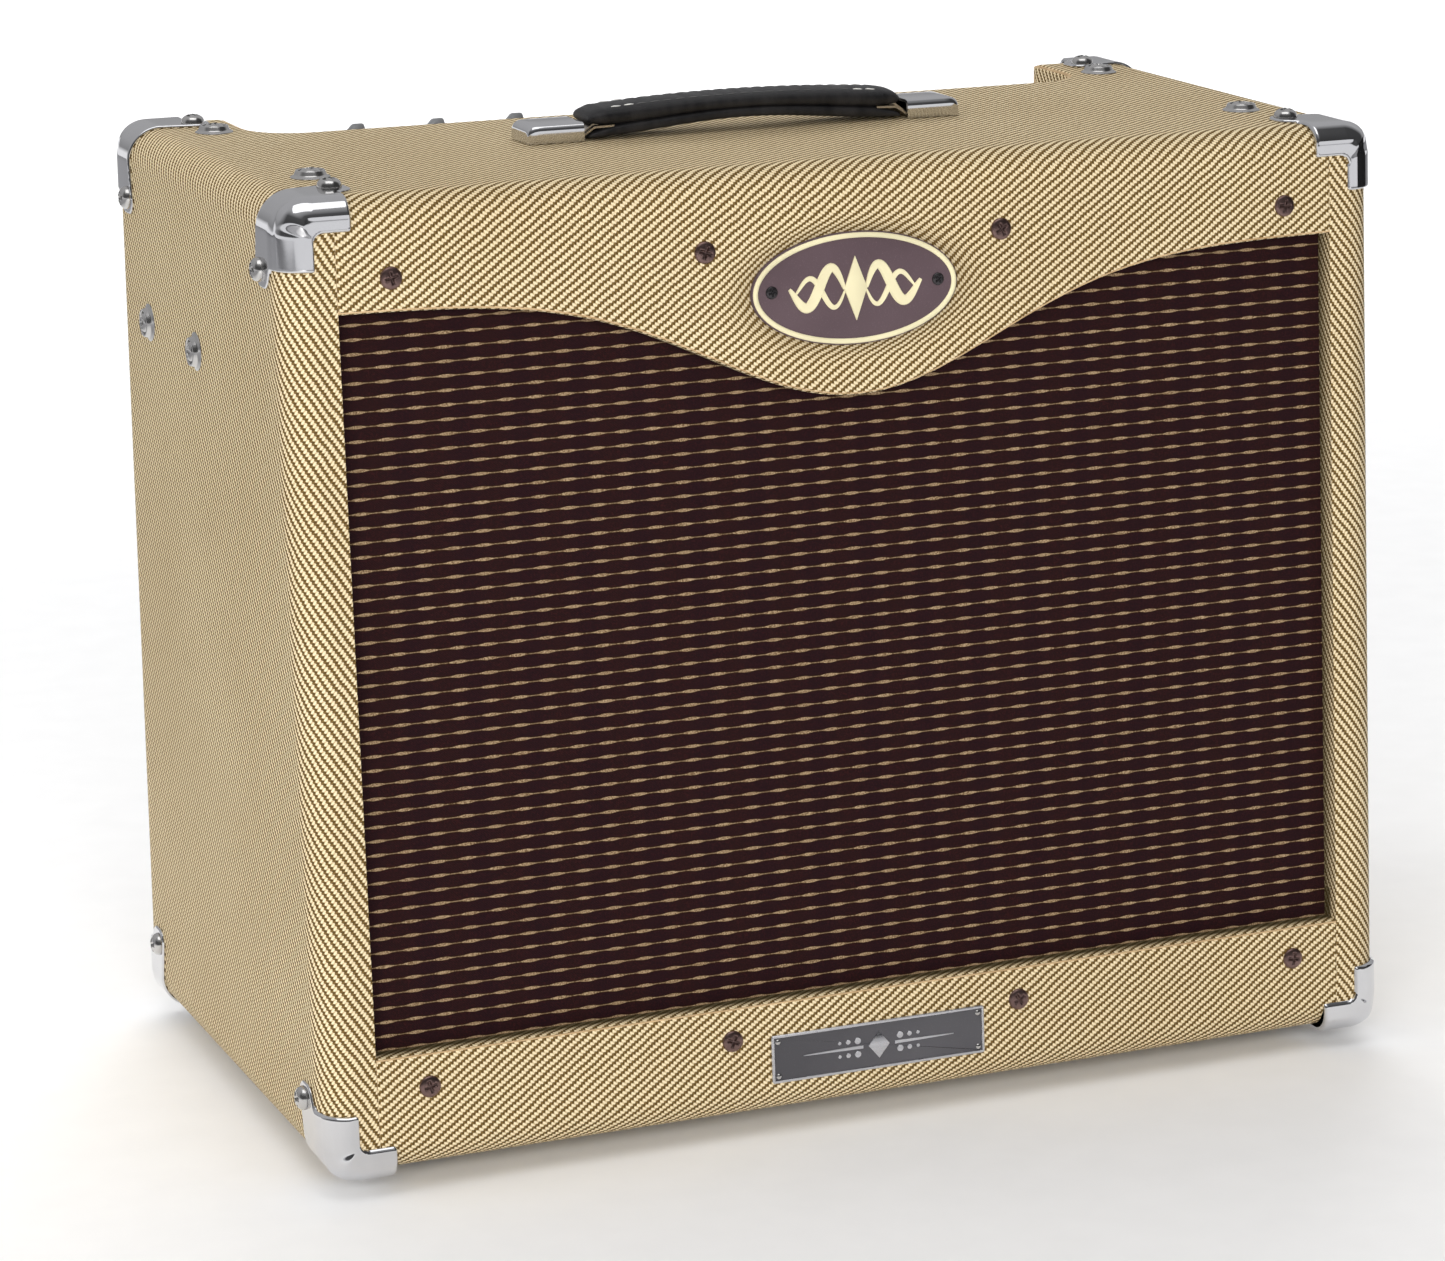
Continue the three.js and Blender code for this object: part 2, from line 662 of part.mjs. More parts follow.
function chassis() {
  const sockets = tubePlaces.map((x) => {
    const wall = rod(SOCKET_RADIUS, CHASSIS_BOTTOM - 10, CHASSIS_BOTTOM + 1, 10);
    return shifted(wall, x, TUBE_ROW, 0);
  });
  const wells = tubePlaces.map((x) => {
    const well = rod(TUBE_RADIUS + 1, CHASSIS_BOTTOM - 11, CHASSIS_BOTTOM - 1, 10);
    const hole = rod(SPIGOT_RADIUS + 1, CHASSIS_BOTTOM - 2, CHASSIS_BOTTOM + 3, 10);
    return shifted(well.add(hole), x, TUBE_ROW, 0);
  });
  const [inletHalf, inletHigh] = INLET_HALF.map((half) => half + GAP);
  const inletHole = prism('z', rectangle(inletHalf, inletHigh), -5, 5);
  const holes = [
    ...knobPlaces.map((x) => panelHole(x, SHAFT_RADIUS + 0.8, 8)),
    ...Object.values(BUTTONS).map((x) => panelHole(x, BUTTON_RADIUS + 0.5)),
    ...Object.values(INPUT_JACKS).map((x) => panelHole(x, JACK_NOSE + GAP)),
    panelHole(LAMP_X, LAMP_BODY + GAP),
    ...Object.values(REAR_JACKS).map((x) => rearHole(x, JACK_NOSE + GAP)),
    ...Object.values(TOGGLES).map((x) => rearHole(x, 5, 10)),
    rearHole(FUSE_X, FUSE_BODY + GAP),
    moved(inletHole, onRear(INLET_X)),
  ];
  return joined([chassisTray(), ...sockets]).subtract(joined([...wells, ...holes]));
}

addPart('chassis', chassis(), chrome);

// ---------------------------------------------------------------- controls

// A pointer knob with its shaft. The pointer lies along the panel, towards -X.
function knob(x) {
  const skirt = turned([[0, 0.6], [11, 0.6], [10.2, 5.4], [0, 5.4]], 16);
  const sideView = [
    [10.4, 1.5],
    [10.4, 17],
    [9.4, KNOB_HEIGHT, 1],
    [2, KNOB_HEIGHT, 1],
    [-4.5, 15.6, 2],
    [-17.4, 6.4],
    [-17.4, 1.5],
  ];
  const plan = [
    [-17.6, -1.2, 0.8],
    [-4, -3.9, 6],
    [10.6, -3.9, 3.4],
    [10.6, 3.9, 3.4],
    [-4, 3.9, 6],
    [-17.6, 1.2, 0.8],
  ];
  const pointer = prism('y', sideView, -6, 6, 1).intersect(prism('z', plan, 0, KNOB_HEIGHT + 1, 2));
  const shaft = rod(SHAFT_RADIUS, -6, 1, 8);
  return moved(joined([skirt, pointer, shaft]), onPanel(x));
}

// A circuit board that carries one potentiometer behind each knob.
function controlBoard() {
  const lastKnob = knobPlaces[knobPlaces.length - 1];
  const middle = (FIRST_KNOB + lastKnob) / 2;
  const half = (lastKnob - FIRST_KNOB) / 2 + 14;
  const board = box([-half, half], [-14, 14], [-12.6, -11]);
  const pots = knobPlaces.map((x) => shifted(rod(8.2, -11.5, -2.1), x - middle, 0, 0));
  const bores = knobPlaces.map((x) => shifted(rod(SHAFT_RADIUS + 0.6, -8, 0, 8), x - middle, 0, 0));
  return moved(joined([board, ...pots]).subtract(joined(bores)), onPanel(middle));
}

function pushButton(x) {
  const radius = BUTTON_RADIUS;
  const cap = turned([[0, -8], [radius, -8], [radius, 4.4], [radius - 0.6, 5], [0, 5]], 12);
  return moved(cap, onPanel(x));
}

function pilotLamp() {
  const body = [[0, -8], [LAMP_BODY, -8], [LAMP_BODY, GAP]];
  const bezel = [[9, GAP], [9, 2], [7.4, 3]];
  const lens = [[6, 6.5], [3, 8.6], [0, 9]];
  return moved(turned([...body, ...bezel, ...lens], 12), onPanel(LAMP_X));
}

// A 6.35 mm jack: a square body behind the sheet and a round nose through it.
function jack() {
  const depth = 26;
  const body = box([-8, 8], [-8, 8], [-depth, -CHASSIS_SHEET - GAP]);
  const nose = rod(JACK_NOSE, -CHASSIS_SHEET - 1, 2.6, 16);
  return body.add(nose).subtract(rod(JACK_BORE, -depth + 2, 4, 16));
}

// A bat-handled lever that pivots inside the sheet and rests tipped down.
function toggle(x) {
  const stem = [[0, -6], [2.6, -6], [2.6, -4], [1.9, 0]];
  const bat = [[2.2, 6], [2.9, 12.5], [2, 14.6], [0, 15]];
  const lever = turned([...stem, ...bat], 8);
  const pivot = onRear(x).multiply(lifted(-3));
  return moved(lever, pivot.multiply(new THREE.Matrix4().makeRotationX(TOGGLE_TILT)));
}

// A flanged inlet: its recess has two cut corners, so a connector goes in one way only.
function mainsInlet() {
  const [across, up] = INLET_HALF;
  const body = prism('z', rectangle(across, up), -22, 0.5);
  const flange = prism('z', rectangle(across + 2, up + 2), GAP, 2.2);
  const mouth = [
    [-12, -7.5],
    [12, -7.5],
    [12, 5],
    [8, 7.5],
    [-8, 7.5],
    [-12, 5],
  ];
  return moved(body.add(flange).subtract(prism('z', mouth, -16, 5)), onRear(INLET_X));
}

function fuseHolder() {
  const body = [[0, -25], [FUSE_BODY, -25], [FUSE_BODY, GAP]];
  const collar = [[8, GAP], [8, 2], [6.4, 2.4]];
  const cap = [[6.2, 8], [5.4, 8.8], [0, 8.8]];
  return moved(turned([...body, ...collar, ...cap], 12), onRear(FUSE_X));
}

knobPlaces.forEach((x, i) => addPart(`knob_${KNOB_NAMES[i]}`, knob(x), greyPlastic));
addPart('control_board', controlBoard(), boardGreen);
for (const [name, x] of Object.entries(BUTTONS)) addPart(name, pushButton(x), blackPlastic);
for (const [name, x] of Object.entries(INPUT_JACKS)) {
  addPart(name, moved(jack(), onPanel(x)), blackPlastic);
}
for (const [name, x] of Object.entries(REAR_JACKS)) {
  addPart(name, moved(jack(), onRear(x)), blackPlastic);
}
for (const [name, x] of Object.entries(TOGGLES)) addPart(name, toggle(x), steel);
addPart('pilot_lamp', pilotLamp(), jewel);
addPart('mains_inlet', mainsInlet(), blackPlastic);
addPart('fuse_holder', fuseHolder(), blackPlastic);

// ---------------------------------------------------------------- under the chassis

// Height 0 is the chassis floor and the valve hangs below it.
function tube(x, length) {
  const profile = [
    [0, 5],
    [SPIGOT_RADIUS, 5],
    [SPIGOT_RADIUS, -2],
    [TUBE_RADIUS, -2.5],
    [TUBE_RADIUS, -length + 10],
    [TUBE_RADIUS - 3, -length + 4.5],
    [2, -length],
    [0, -length - 1],
  ];
  return shifted(turned(profile, 10), x, TUBE_ROW, CHASSIS_BOTTOM);
}

// A laminated core with a winding bobbin that stands proud of it front and back.
function transformer(x, y, width, depth, height) {
  const low = CHASSIS_BOTTOM - GAP - height;
  const high = CHASSIS_BOTTOM - GAP;
  const core = box([x - width / 2, x + width / 2], [y - depth / 4, y + depth / 4], [low, high]);
  const bobbin = [
    [y - depth / 2, low + height / 5, 8],
    [y + depth / 2, low + height / 5, 8],
    [y + depth / 2, high - height / 5, 8],
    [y - depth / 2, high - height / 5, 8],
  ];
  return core.add(prism('x', bobbin, x - width / 3.4, x + width / 3.4, 3));
}

// A bent guard behind and below the valves, slotted for air.
function tubeGuard() {
  const half = 195;
  const low = 256;
  const sheet = 1.2;
  const rear = [CHASSIS_REAR - 2 - sheet, CHASSIS_REAR - 2];
  const wall = box([-half, half], rear, [low, CHASSIS_BOTTOM - GAP]);
  const floor = box([-half, half], [72, CHASSIS_REAR - 2], [low, low + sheet]);
  const count = 13;
  const slots = [];
  for (let i = 0; i < count; i += 1) {
    const x = -half + 18 + ((2 * half - 36) * i) / (count - 1);
    slots.push(box([x - 5, x + 5], [rear[0] - 3, rear[1] + 3], [low + 12, CHASSIS_BOTTOM - 12]));
  }
  return wall.add(floor).subtract(joined(slots));
}

POWER_TUBES.forEach((x, i) => {
  addPart(`power_tube_${i + 1}`, tube(x, POWER_TUBE_LENGTH), glass);
});
PREAMP_TUBES.forEach((x, i) => {
  addPart(`preamp_tube_${i + 1}`, tube(x, PREAMP_TUBE_LENGTH), glass);
});
addPart('tube_guard', tubeGuard(), darkSteel);
addPart('power_transformer', transformer(-150, 15, 86, 76, 72), darkSteel);
addPart('output_transformer', transformer(150, 15, 64, 58, 54), darkSteel);

// ---------------------------------------------------------------- reverb tank

function reverbTank() {
  const low = INNER_BASE + GAP;
  const pan = box([-112, 112], [8, 108], [low, low + 32]);
  const ears = box([-118, 118], [8, 108], [low, low + 1.5]);
  return pan.add(ears);
}

addPart('reverb_tank', reverbTank(), steel);

// ---------------------------------------------------------------- speaker

// Profiles are [radius, depth behind the baffle]; depth becomes -z in the front face's frame.
function speakerPart(profile) {
  const points = profile.map(([radius, depth]) => [radius, -depth]);
  return turned(points, SPEAKER_SIDES);
}

function onBaffleBack() {
  return onFront(0, SPEAKER_HEIGHT).multiply(lifted(-BAFFLE_BACK - GAP));
}

function speakerBasket() {
  const profile = [
    [139, 0],
    [154.5, 0],
    [154.5, 3.5],
    [144, 5],
    [138, 27],
    [65, 88],
    [30, 88],
    [30, 86],
    [63, 86],
    [135, 25.5],
    [139, 6],
    [139, 0],
  ];
  const windows = 6;
  const halfAngle = THREE.MathUtils.degToRad(18);
  const cuts = [];
  for (let i = 0; i < windows; i += 1) {
    const middle = (Math.PI * 2 * (i + 0.5)) / windows;
    const corners = [[74, -1], [122, -1], [122, 1], [74, 1]].map(([radius, side]) => [
      radius * Math.cos(middle + side * halfAngle),
      radius * Math.sin(middle + side * halfAngle),
    ]);
    cuts.push(prism('z', corners, -90, -30));
  }
  return moved(speakerPart(profile).subtract(joined(cuts)), onBaffleBack());
}

// Paper cone with its rolled edge and its dust cap.
function speakerCone() {
  const profile = [
    [0, 46],
    [24, 50],
    [39, 61.5],
    [126, 6.5],
    [131, 5],
    [136.5, 6],
    [136.5, 7.4],
    [131, 6.4],
    [126.8, 8],
    [40, 63.8],
    [24, 53],
    [0, 48.5],
  ];
  return moved(speakerPart(profile), onBaffleBack());
}

function speakerMagnet() {
  const profile = [
    [0, 88 + GAP],
    [60, 88 + GAP],
    [60, 95],
    [78, 95],
    [78, 116],
    [57, 123],
    [0, 123],
  ];
  return moved(speakerPart(profile), onBaffleBack());
}

addPart('speaker_basket', speakerBasket(), darkSteel);
addPart('speaker_cone', speakerCone(), paper);
addPart('speaker_magnet', speakerMagnet(), darkSteel);

export default amplifier;
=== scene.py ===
import math
from contextlib import contextmanager

import bmesh
import bpy
import numpy as np
from mathutils import Matrix, Vector


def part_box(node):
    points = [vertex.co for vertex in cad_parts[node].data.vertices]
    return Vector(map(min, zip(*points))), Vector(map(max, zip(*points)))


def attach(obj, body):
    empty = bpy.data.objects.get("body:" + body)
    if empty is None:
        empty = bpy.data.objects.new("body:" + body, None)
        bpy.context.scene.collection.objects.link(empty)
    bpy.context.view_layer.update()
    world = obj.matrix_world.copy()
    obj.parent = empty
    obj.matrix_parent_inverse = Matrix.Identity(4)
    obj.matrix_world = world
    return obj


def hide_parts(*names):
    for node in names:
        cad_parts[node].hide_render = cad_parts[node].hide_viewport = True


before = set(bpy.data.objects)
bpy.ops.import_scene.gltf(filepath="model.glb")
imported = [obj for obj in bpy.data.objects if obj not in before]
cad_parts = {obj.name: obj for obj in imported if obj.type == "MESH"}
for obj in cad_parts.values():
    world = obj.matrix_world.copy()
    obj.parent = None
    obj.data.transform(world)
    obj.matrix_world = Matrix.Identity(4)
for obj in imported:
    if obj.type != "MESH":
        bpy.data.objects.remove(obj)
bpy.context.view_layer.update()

# ---------------------------------------------------------------- sizes, in millimetres

MM = 0.001


def span(node):
    low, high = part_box(node)
    return np.array(low) / MM, np.array(high) / MM


SIDE = span("side_panel_right")[1][0]
BASE, TOP = span("side_panel_right")[0][2], span("side_panel_right")[1][2]
REAR = span("side_panel_right")[1][1]
FRONT_BOTTOM = -REAR
LEAN = math.atan2(26.0, 405.5)  # of the front face
SIN, COS = math.sin(LEAN), math.cos(LEAN)
EDGE = 14.0  # radius of the cabinet's outside edges
SEAM = 226.4  # x of the seams between the stiles and the rails
CLOTH = 0.35  # how far the tweed stands off its boards
CLOTH_THICK = 0.32
BADGE_AT = (-1.4, 353.6 + BASE)  # x and z of the badge's middle
BADGE_HALF = (46.9, 23.7)
PRESSED_IN = 4.0  # how far the tweed's stripes are drawn in beside the badge
PLATE_Z = 25.5 + BASE
PANEL_SLOPE = math.radians(12)
PANEL_HIGH = 386.4  # z of the panel at its rear edge
CONTROL_ROW = 93.0  # y of the row of knobs
REAR_PLATE = 122.0  # y of the chassis's rear face
TOGGLE_Z = 357.0
KNOBS = {
    n: span("knob_" + n)
    for n in ("treble", "middle", "bass", "reverb", "normal", "lead_post", "lead_pre")
}
KNOB_RADIUS = 11.0  # of the skirt
KNOB_X = {n: b[1][0] - KNOB_RADIUS for n, b in KNOBS.items()}


def middle(node):
    low, high = span(node)
    return (low + high) / 2


def front_y(z):
    return FRONT_BOTTOM + (z - BASE) * math.tan(LEAN)


def panel_z(y):
    return PANEL_HIGH + (REAR_PLATE - y) * math.tan(PANEL_SLOPE)


def axes(x, y, z, origin):
    """The placement with these directions for its axes, in millimetres."""
    m = Matrix((x, y, z)).transposed().to_4x4()
    m.translation = Vector(origin)
    return m


def on_front(x, z, out=0.0):
    return axes((1, 0, 0), (0, SIN, COS), (0, -COS, SIN), (x, front_y(z) - out * COS, z + out * SIN))


def on_panel(x, y=CONTROL_ROW, out=0.0):
    s, c = math.sin(PANEL_SLOPE), math.cos(PANEL_SLOPE)
    return axes((1, 0, 0), (0, c, -s), (0, s, c), (x, y + out * s, panel_z(y) + out * c))


def on_rear(x, z, y=REAR_PLATE):
    return axes((-1, 0, 0), (0, 0, 1), (0, 1, 0), (x, y, z))


# ---------------------------------------------------------------- mesh code


def linked(name, data):
    obj = bpy.data.objects.new(name, data)
    bpy.context.scene.collection.objects.link(obj)
    return obj


@contextmanager
def editing(mesh):
    bm = bmesh.new()
    bm.from_mesh(mesh)
    yield bm
    bm.to_mesh(mesh)
    bm.free()


def build(
    name, verts, faces, material, body="cabinet", slot=None, uv=None, smooth=True, replaces=(), closed=True,
    place=None,
):
    """A piece from vertices in millimetres."""
    mesh = bpy.data.meshes.new(name)
    points = np.asarray(verts, float) * MM
    if place is not None:
        m = np.array(place)
        points = points @ m[:3, :3].T + m[:3, 3] * MM
    mesh.from_pydata(points.tolist(), [], [list(map(int, f)) for f in faces])
    if uv is not None:
        layer = mesh.uv_layers.new(name="cloth")
        flat = np.asarray(uv, float) * MM
        index = np.zeros(len(mesh.loops), int)
        mesh.loops.foreach_get("vertex_index", index)
        layer.data.foreach_set("uv", flat[index].astype(np.float32).ravel())
    if closed:
        with editing(mesh) as bm:
            bmesh.ops.remove_doubles(bm, verts=bm.verts, dist=2e-6)
            bmesh.ops.recalc_face_normals(bm, faces=bm.faces)
    mesh.validate()
    mesh.polygons.foreach_set("use_smooth", [smooth] * len(mesh.polygons))
    obj = linked(name, mesh)
    mesh.materials.append(material)
    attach(obj, body)
    if replaces:
        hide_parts(*replaces)
    return obj


def modify(obj, kind, **settings):
    m = obj.modifiers.new(kind.lower(), kind)
    for key, value in settings.items():
        setattr(m, key, value)
    return m


def crisp(obj, degrees=35):
    """Smooth shading with sharp edges where the faces turn by more than an angle."""
    limit = math.radians(degrees)
    with editing(obj.data) as bm:
        for e in bm.edges:
            e.smooth = len(e.link_faces) == 2 and e.calc_face_angle(0) < limit
    return obj


def grid_faces(rows, columns, wrap_rows=False, wrap_columns=False):
    faces = []
    for i in range(rows if wrap_rows else rows - 1):
        for j in range(columns if wrap_columns else columns - 1):
            a, b = i, (i + 1) % rows
            c, d = j, (j + 1) % columns
            faces.append((a * columns + c, a * columns + d, b * columns + d, b * columns + c))
    return faces


def unit(vectors):
    return vectors / np.linalg.norm(vectors, axis=1)[:, None]


def across(tangents):
    """The normals to the left of 2D tangents."""
    return np.stack([-tangents[:, 1], tangents[:, 0]], 1)


def lifted(loop, height):
    return [(x, y, height) for x, y in loop]


def spin(angle):
    return Matrix.Rotation(angle, 4, "Z")


def capped(rows, columns):
    """A grid closed round its columns, with a face over each end."""
    last = (rows - 1) * columns
    ends = [list(range(columns))[::-1], list(range(last, last + columns))]
    return grid_faces(rows, columns, wrap_columns=True) + ends


def four_sided(verts):
    """Vertices in rows of four as a closed band."""
    n = len(verts)
    faces = grid_faces(n // 4, 4, wrap_columns=True) + [[0, 1, 2, 3], [n - 1, n - 2, n - 3, n - 4]]
    return np.array(verts), faces


def bar(line, half, under, over):
    """A bar of rectangular section along a line of (x, z) points."""
    verts = []
    for x, z in line:
        verts += [(x, -half, z - under), (x, half, z - under), (x, half, z + over), (x, -half, z + over)]
    return four_sided(verts)


def fillet(points, radii, steps=6, support=0.0):
    """A polyline with its corners rounded."""
    points = [np.array(p, float) for p in points]
    out = [points[0]]
    for i in range(1, len(points) - 1):
        r = radii[i]
        if r <= 0:
            out.append(points[i])
            continue
        into = points[i] - points[i - 1]
        away = points[i + 1] - points[i]
        into, away = into / np.linalg.norm(into), away / np.linalg.norm(away)
        turn = math.acos(np.clip(into @ away, -1, 1))
        reach = r * math.tan(turn / 2)
        start = points[i] - into * reach
        side = np.sign(into[0] * away[1] - into[1] * away[0])
        normal = np.array([-into[1], into[0]]) * side
        centre = start + normal * r
        if support:
            out.append(start - into * support)
        for k in range(steps + 1):
            a = turn * k / steps
            out.append(centre - normal * r * math.cos(a) + into * r * math.sin(a))
        if support:
            out.append(points[i] + away * (reach + support))
    out.append(points[-1])
    return np.array(out)


def lathe(profile, segments=40):
    """Vertices and faces of a profile of (radius, height) turned about z; radius 0 makes a pole."""
    verts, faces, rings = [], [], []
    for radius, height in profile:
        if radius < 1e-6:
            rings.append([len(verts)])
            verts.append((0, 0, height))
            continue
        rings.append(list(range(len(verts), len(verts) + segments)))
        for k in range(segments):
            a = 2 * math.pi * k / segments
            verts.append((radius * math.cos(a), radius * math.sin(a), height))
    for low, high in zip(rings, rings[1:]):
        for k in range(segments):
            a, b = low[k % len(low)], low[(k + 1) % len(low)]
            c, d = high[(k + 1) % len(high)], high[k % len(high)]
            face = []
            for v in (a, b, c, d):
                if v not in face:
                    face.append(v)
            if len(face) > 2:
                faces.append(face)
    return np.array(verts), faces


def turned(name, profile, material, place, segments=40, radii=None, **more):
    """A piece turned on a lathe; radii round the corners of its profile."""
    if radii is not None:
        profile = fillet(profile, radii, 3)
    verts, faces = lathe(profile, segments)
    return crisp(build(name, verts, faces, material, place=place, **more))


def offset_loop(loop, distance):
    """A closed 2D loop moved inwards by a distance."""
    loop = np.asarray(loop, float)
    ahead, behind = np.roll(loop, -1, 0), np.roll(loop, 1, 0)
    area = np.sum(loop[:, 0] * ahead[:, 1] - ahead[:, 0] * loop[:, 1])
    return loop + across(unit(ahead - behind)) * np.sign(area) * distance


def slab_mesh(loop, low, high, bevel=0.5, steps=3, under=True):
    """A slab over a closed loop, with rounded upper (and lower) edges."""
    rings = []
    if under:
        for k in range(steps + 1):
            a = math.pi / 2 * k / steps
            rings.append((bevel * (1 - math.sin(a)), low + bevel * (1 - math.cos(a))))
    else:
        rings.append((0, low))
    for k in range(steps + 1):
        a = math.pi / 2 * k / steps
        rings.append((bevel * (1 - math.cos(a)), high - bevel + bevel * math.sin(a)))
    verts = []
    for inset, height in rings:
        verts += lifted(offset_loop(loop, inset), height)
    return np.array(verts), capped(len(rings), len(loop))


def slab(name, loop, low, high, material, place, bevel, **more):
    verts, faces = slab_mesh(loop, low, high, bevel)
    return crisp(build(name, verts, faces, material, place=place, **more), 40)


def rounded_rectangle(width, height, radius, steps=5):
    w, h = width / 2 - radius, height / 2 - radius
    loop = []
    for cx, cy, start in ((w, h, 0), (-w, h, 90), (-w, -h, 180), (w, -h, 270)):
        for k in range(steps + 1):
            a = math.radians(start + 90 * k / steps)
            loop.append((cx + radius * math.cos(a), cy + radius * math.sin(a)))
    return loop


def oval(half_width, half_height, steps=96):
    return [
        (half_width * math.cos(2 * math.pi * k / steps), half_height * math.sin(2 * math.pi * k / steps))
        for k in range(steps)
    ]


def tube_mesh(path, radius, sides=8):
    """A round tube along a path of 3D points; the radius may be a list. Its ends are closed."""
    path = np.asarray(path, float)
    radii = np.broadcast_to(np.asarray(radius, float), (len(path),))
    tangents = unit(np.gradient(path, axis=0))
    up = np.array([0, 0, 1.0]) if abs(tangents[0][2]) < 0.9 else np.array([1.0, 0, 0])
    verts = []
    for p, t, r in zip(path, tangents, radii):
        a = np.cross(t, up)
        a /= np.linalg.norm(a)
        b = np.cross(a, t)
        up = b
        for k in range(sides):
            w = 2 * math.pi * k / sides
            verts.append(p + r * (math.cos(w) * a + math.sin(w) * b))
    return np.array(verts), capped(len(path), sides)


def merged(parts):
    """Several (verts, faces) as one."""
    verts, faces, start = [], [], 0
    for v, f in parts:
        verts.append(np.asarray(v, float))
        faces += [[i + start for i in face] for face in f]
        start += len(v)
    return np.concatenate(verts), faces


def placed(part, m):
    verts, faces = part
    a = np.array(m)
    return np.asarray(verts, float) @ a[:3, :3].T + a[:3, 3], faces


def assembly(name, parts, material, angle, **more):
    """Several (verts, faces) as one piece with crisp edges."""
    return crisp(build(name, *merged(parts), material, **more), angle)


def several(name, part, places, material, angle=50, turn=0.0, **more):
    """One part at several places as one piece, each turned on by an angle from the one before."""
    copies = [placed(part, m @ spin(turn * k)) for k, m in enumerate(places)]
    return assembly(name, copies, material, angle, **more)


def smoothstep(x, low, high):
    t = np.clip((x - low) / (high - low), 0, 1)
    return t * t * (3 - 2 * t)


def cross_head(radius, height, rim=0.35, reach=0.55, segments=40, rings=13):
    """A domed screw head with a cross recess."""
    verts, faces = [], []
    sag = height - rim
    ring_radius = [radius * (k / rings) for k in range(1, rings + 1)]
    depth, half, length = height * 0.75, radius * 0.14, radius * reach

    def level(x, y):
        r = math.hypot(x, y)
        dome = rim + sag * math.sqrt(max(0.0, 1 - (r / radius) ** 2))
        across = max(abs(x) - length, abs(y) - half)
        along = max(abs(y) - length, abs(x) - half)
        inside = -min(across, along)
        cut = float(smoothstep(inside, -radius * 0.03, radius * 0.08))
        return dome - depth * cut * (1 - 0.35 * r / length if r < length else 0.65)

    verts.append((0, 0, level(0, 0)))
    for r in ring_radius:
        for k in range(segments):
            a = 2 * math.pi * (k + 0.5) / segments
            verts.append((r * math.cos(a), r * math.sin(a), level(r * math.cos(a), r * math.sin(a))))
    for k in range(segments):
        faces.append((0, 1 + k, 1 + (k + 1) % segments))
    for i in range(rings - 1):
        for k in range(segments):
            a, b = 1 + i * segments + k, 1 + i * segments + (k + 1) % segments
            faces.append((a, a + segments, b + segments, b))
    base = len(verts)
    for k in range(segments):
        a = 2 * math.pi * (k + 0.5) / segments
        verts.append((radius * math.cos(a), radius * math.sin(a), -0.4))
    for k in range(segments):
        a, b = 1 + (rings - 1) * segments + k, 1 + (rings - 1) * segments + (k + 1) % segments
        faces.append((a, base + k, base + (k + 1) % segments, b))
    faces.append([base + k for k in range(segments)][::-1])
    return np.array(verts), faces


# ---------------------------------------------------------------- materials


class Paint:
    """A node material, made step by step."""

    def __init__(self, name, roughness=0.5, metallic=0.0, color=(0.5, 0.5, 0.5), **inputs):
        self.material = bpy.data.materials.new(name)
        self.material.use_nodes = True
        self.tree = self.material.node_tree
        self.shader = self.tree.nodes["Principled BSDF"]
        self.shader.inputs["Base Color"].default_value = (*color, 1)
        self.shader.inputs["Roughness"].default_value = roughness
        self.shader.inputs["Metallic"].default_value = metallic
        for key, value in inputs.items():
            self.shader.inputs[key.replace("_", " ")].default_value = value
        self.material.diffuse_color = (*color, 1)

    def node(self, kind, inputs=None, **settings):
        n = self.tree.nodes.new(kind)
        for key, value in settings.items():
            setattr(n, key, value)
        for key, value in (inputs or {}).items():
            self.feed(n.inputs[key], value)
        return n

    def feed(self, socket, value):
        if isinstance(value, bpy.types.NodeSocket):
            self.tree.links.new(value, socket)
        else:
            socket.default_value = value

    def math(self, operation, a, b=0.0, c=0.0):
        return self.node("ShaderNodeMath", {0: a, 1: b, 2: c}, operation=operation).outputs[0]

    def times(self, a, b):
        return self.math("MULTIPLY", a, b)

    def plus(self, a, b):
        return self.math("ADD", a, b)

    def mix(self, factor, a, b, blend="MIX"):
        n = self.node("ShaderNodeMix", data_type="RGBA", blend_type=blend)
        self.feed(n.inputs[0], factor)
        self.feed(n.inputs[6], a if isinstance(a, bpy.types.NodeSocket) else (*a, 1))
        self.feed(n.inputs[7], b if isinstance(b, bpy.types.NodeSocket) else (*b, 1))
        return n.outputs[2]

    def position(self):
        return self.node("ShaderNodeTexCoord").outputs["Object"]

    def parts(self, vector):
        return self.node("ShaderNodeSeparateXYZ", {0: vector}).outputs

    def noise(self, vector, per_metre, detail=3.0, roughness=0.5, distortion=0.0):
        n = self.node(
            "ShaderNodeTexNoise",
            {
                "Vector": vector, "Scale": per_metre, "Detail": detail, "Roughness": roughness,
                "Distortion": distortion,
            },
        )
        return n.outputs[0]

    def fit(self, value, low, high, to_low=0.0, to_high=1.0):
        return self.node("ShaderNodeMapRange", {0: value, 1: low, 2: high, 3: to_low, 4: to_high}).outputs[0]

    def scaled(self, vector, x, y, z):
        return self.node("ShaderNodeMapping", {"Vector": vector, "Scale": (x, y, z)}).outputs[0]

    def bump(self, height, distance_mm, strength=1.0):
        n = self.node(
            "ShaderNodeBump", {"Height": height, "Distance": distance_mm * MM, "Strength": strength},
        )
        self.feed(self.shader.inputs["Normal"], n.outputs[0])

    def set(self, name, value):
        self.feed(self.shader.inputs[name], value)


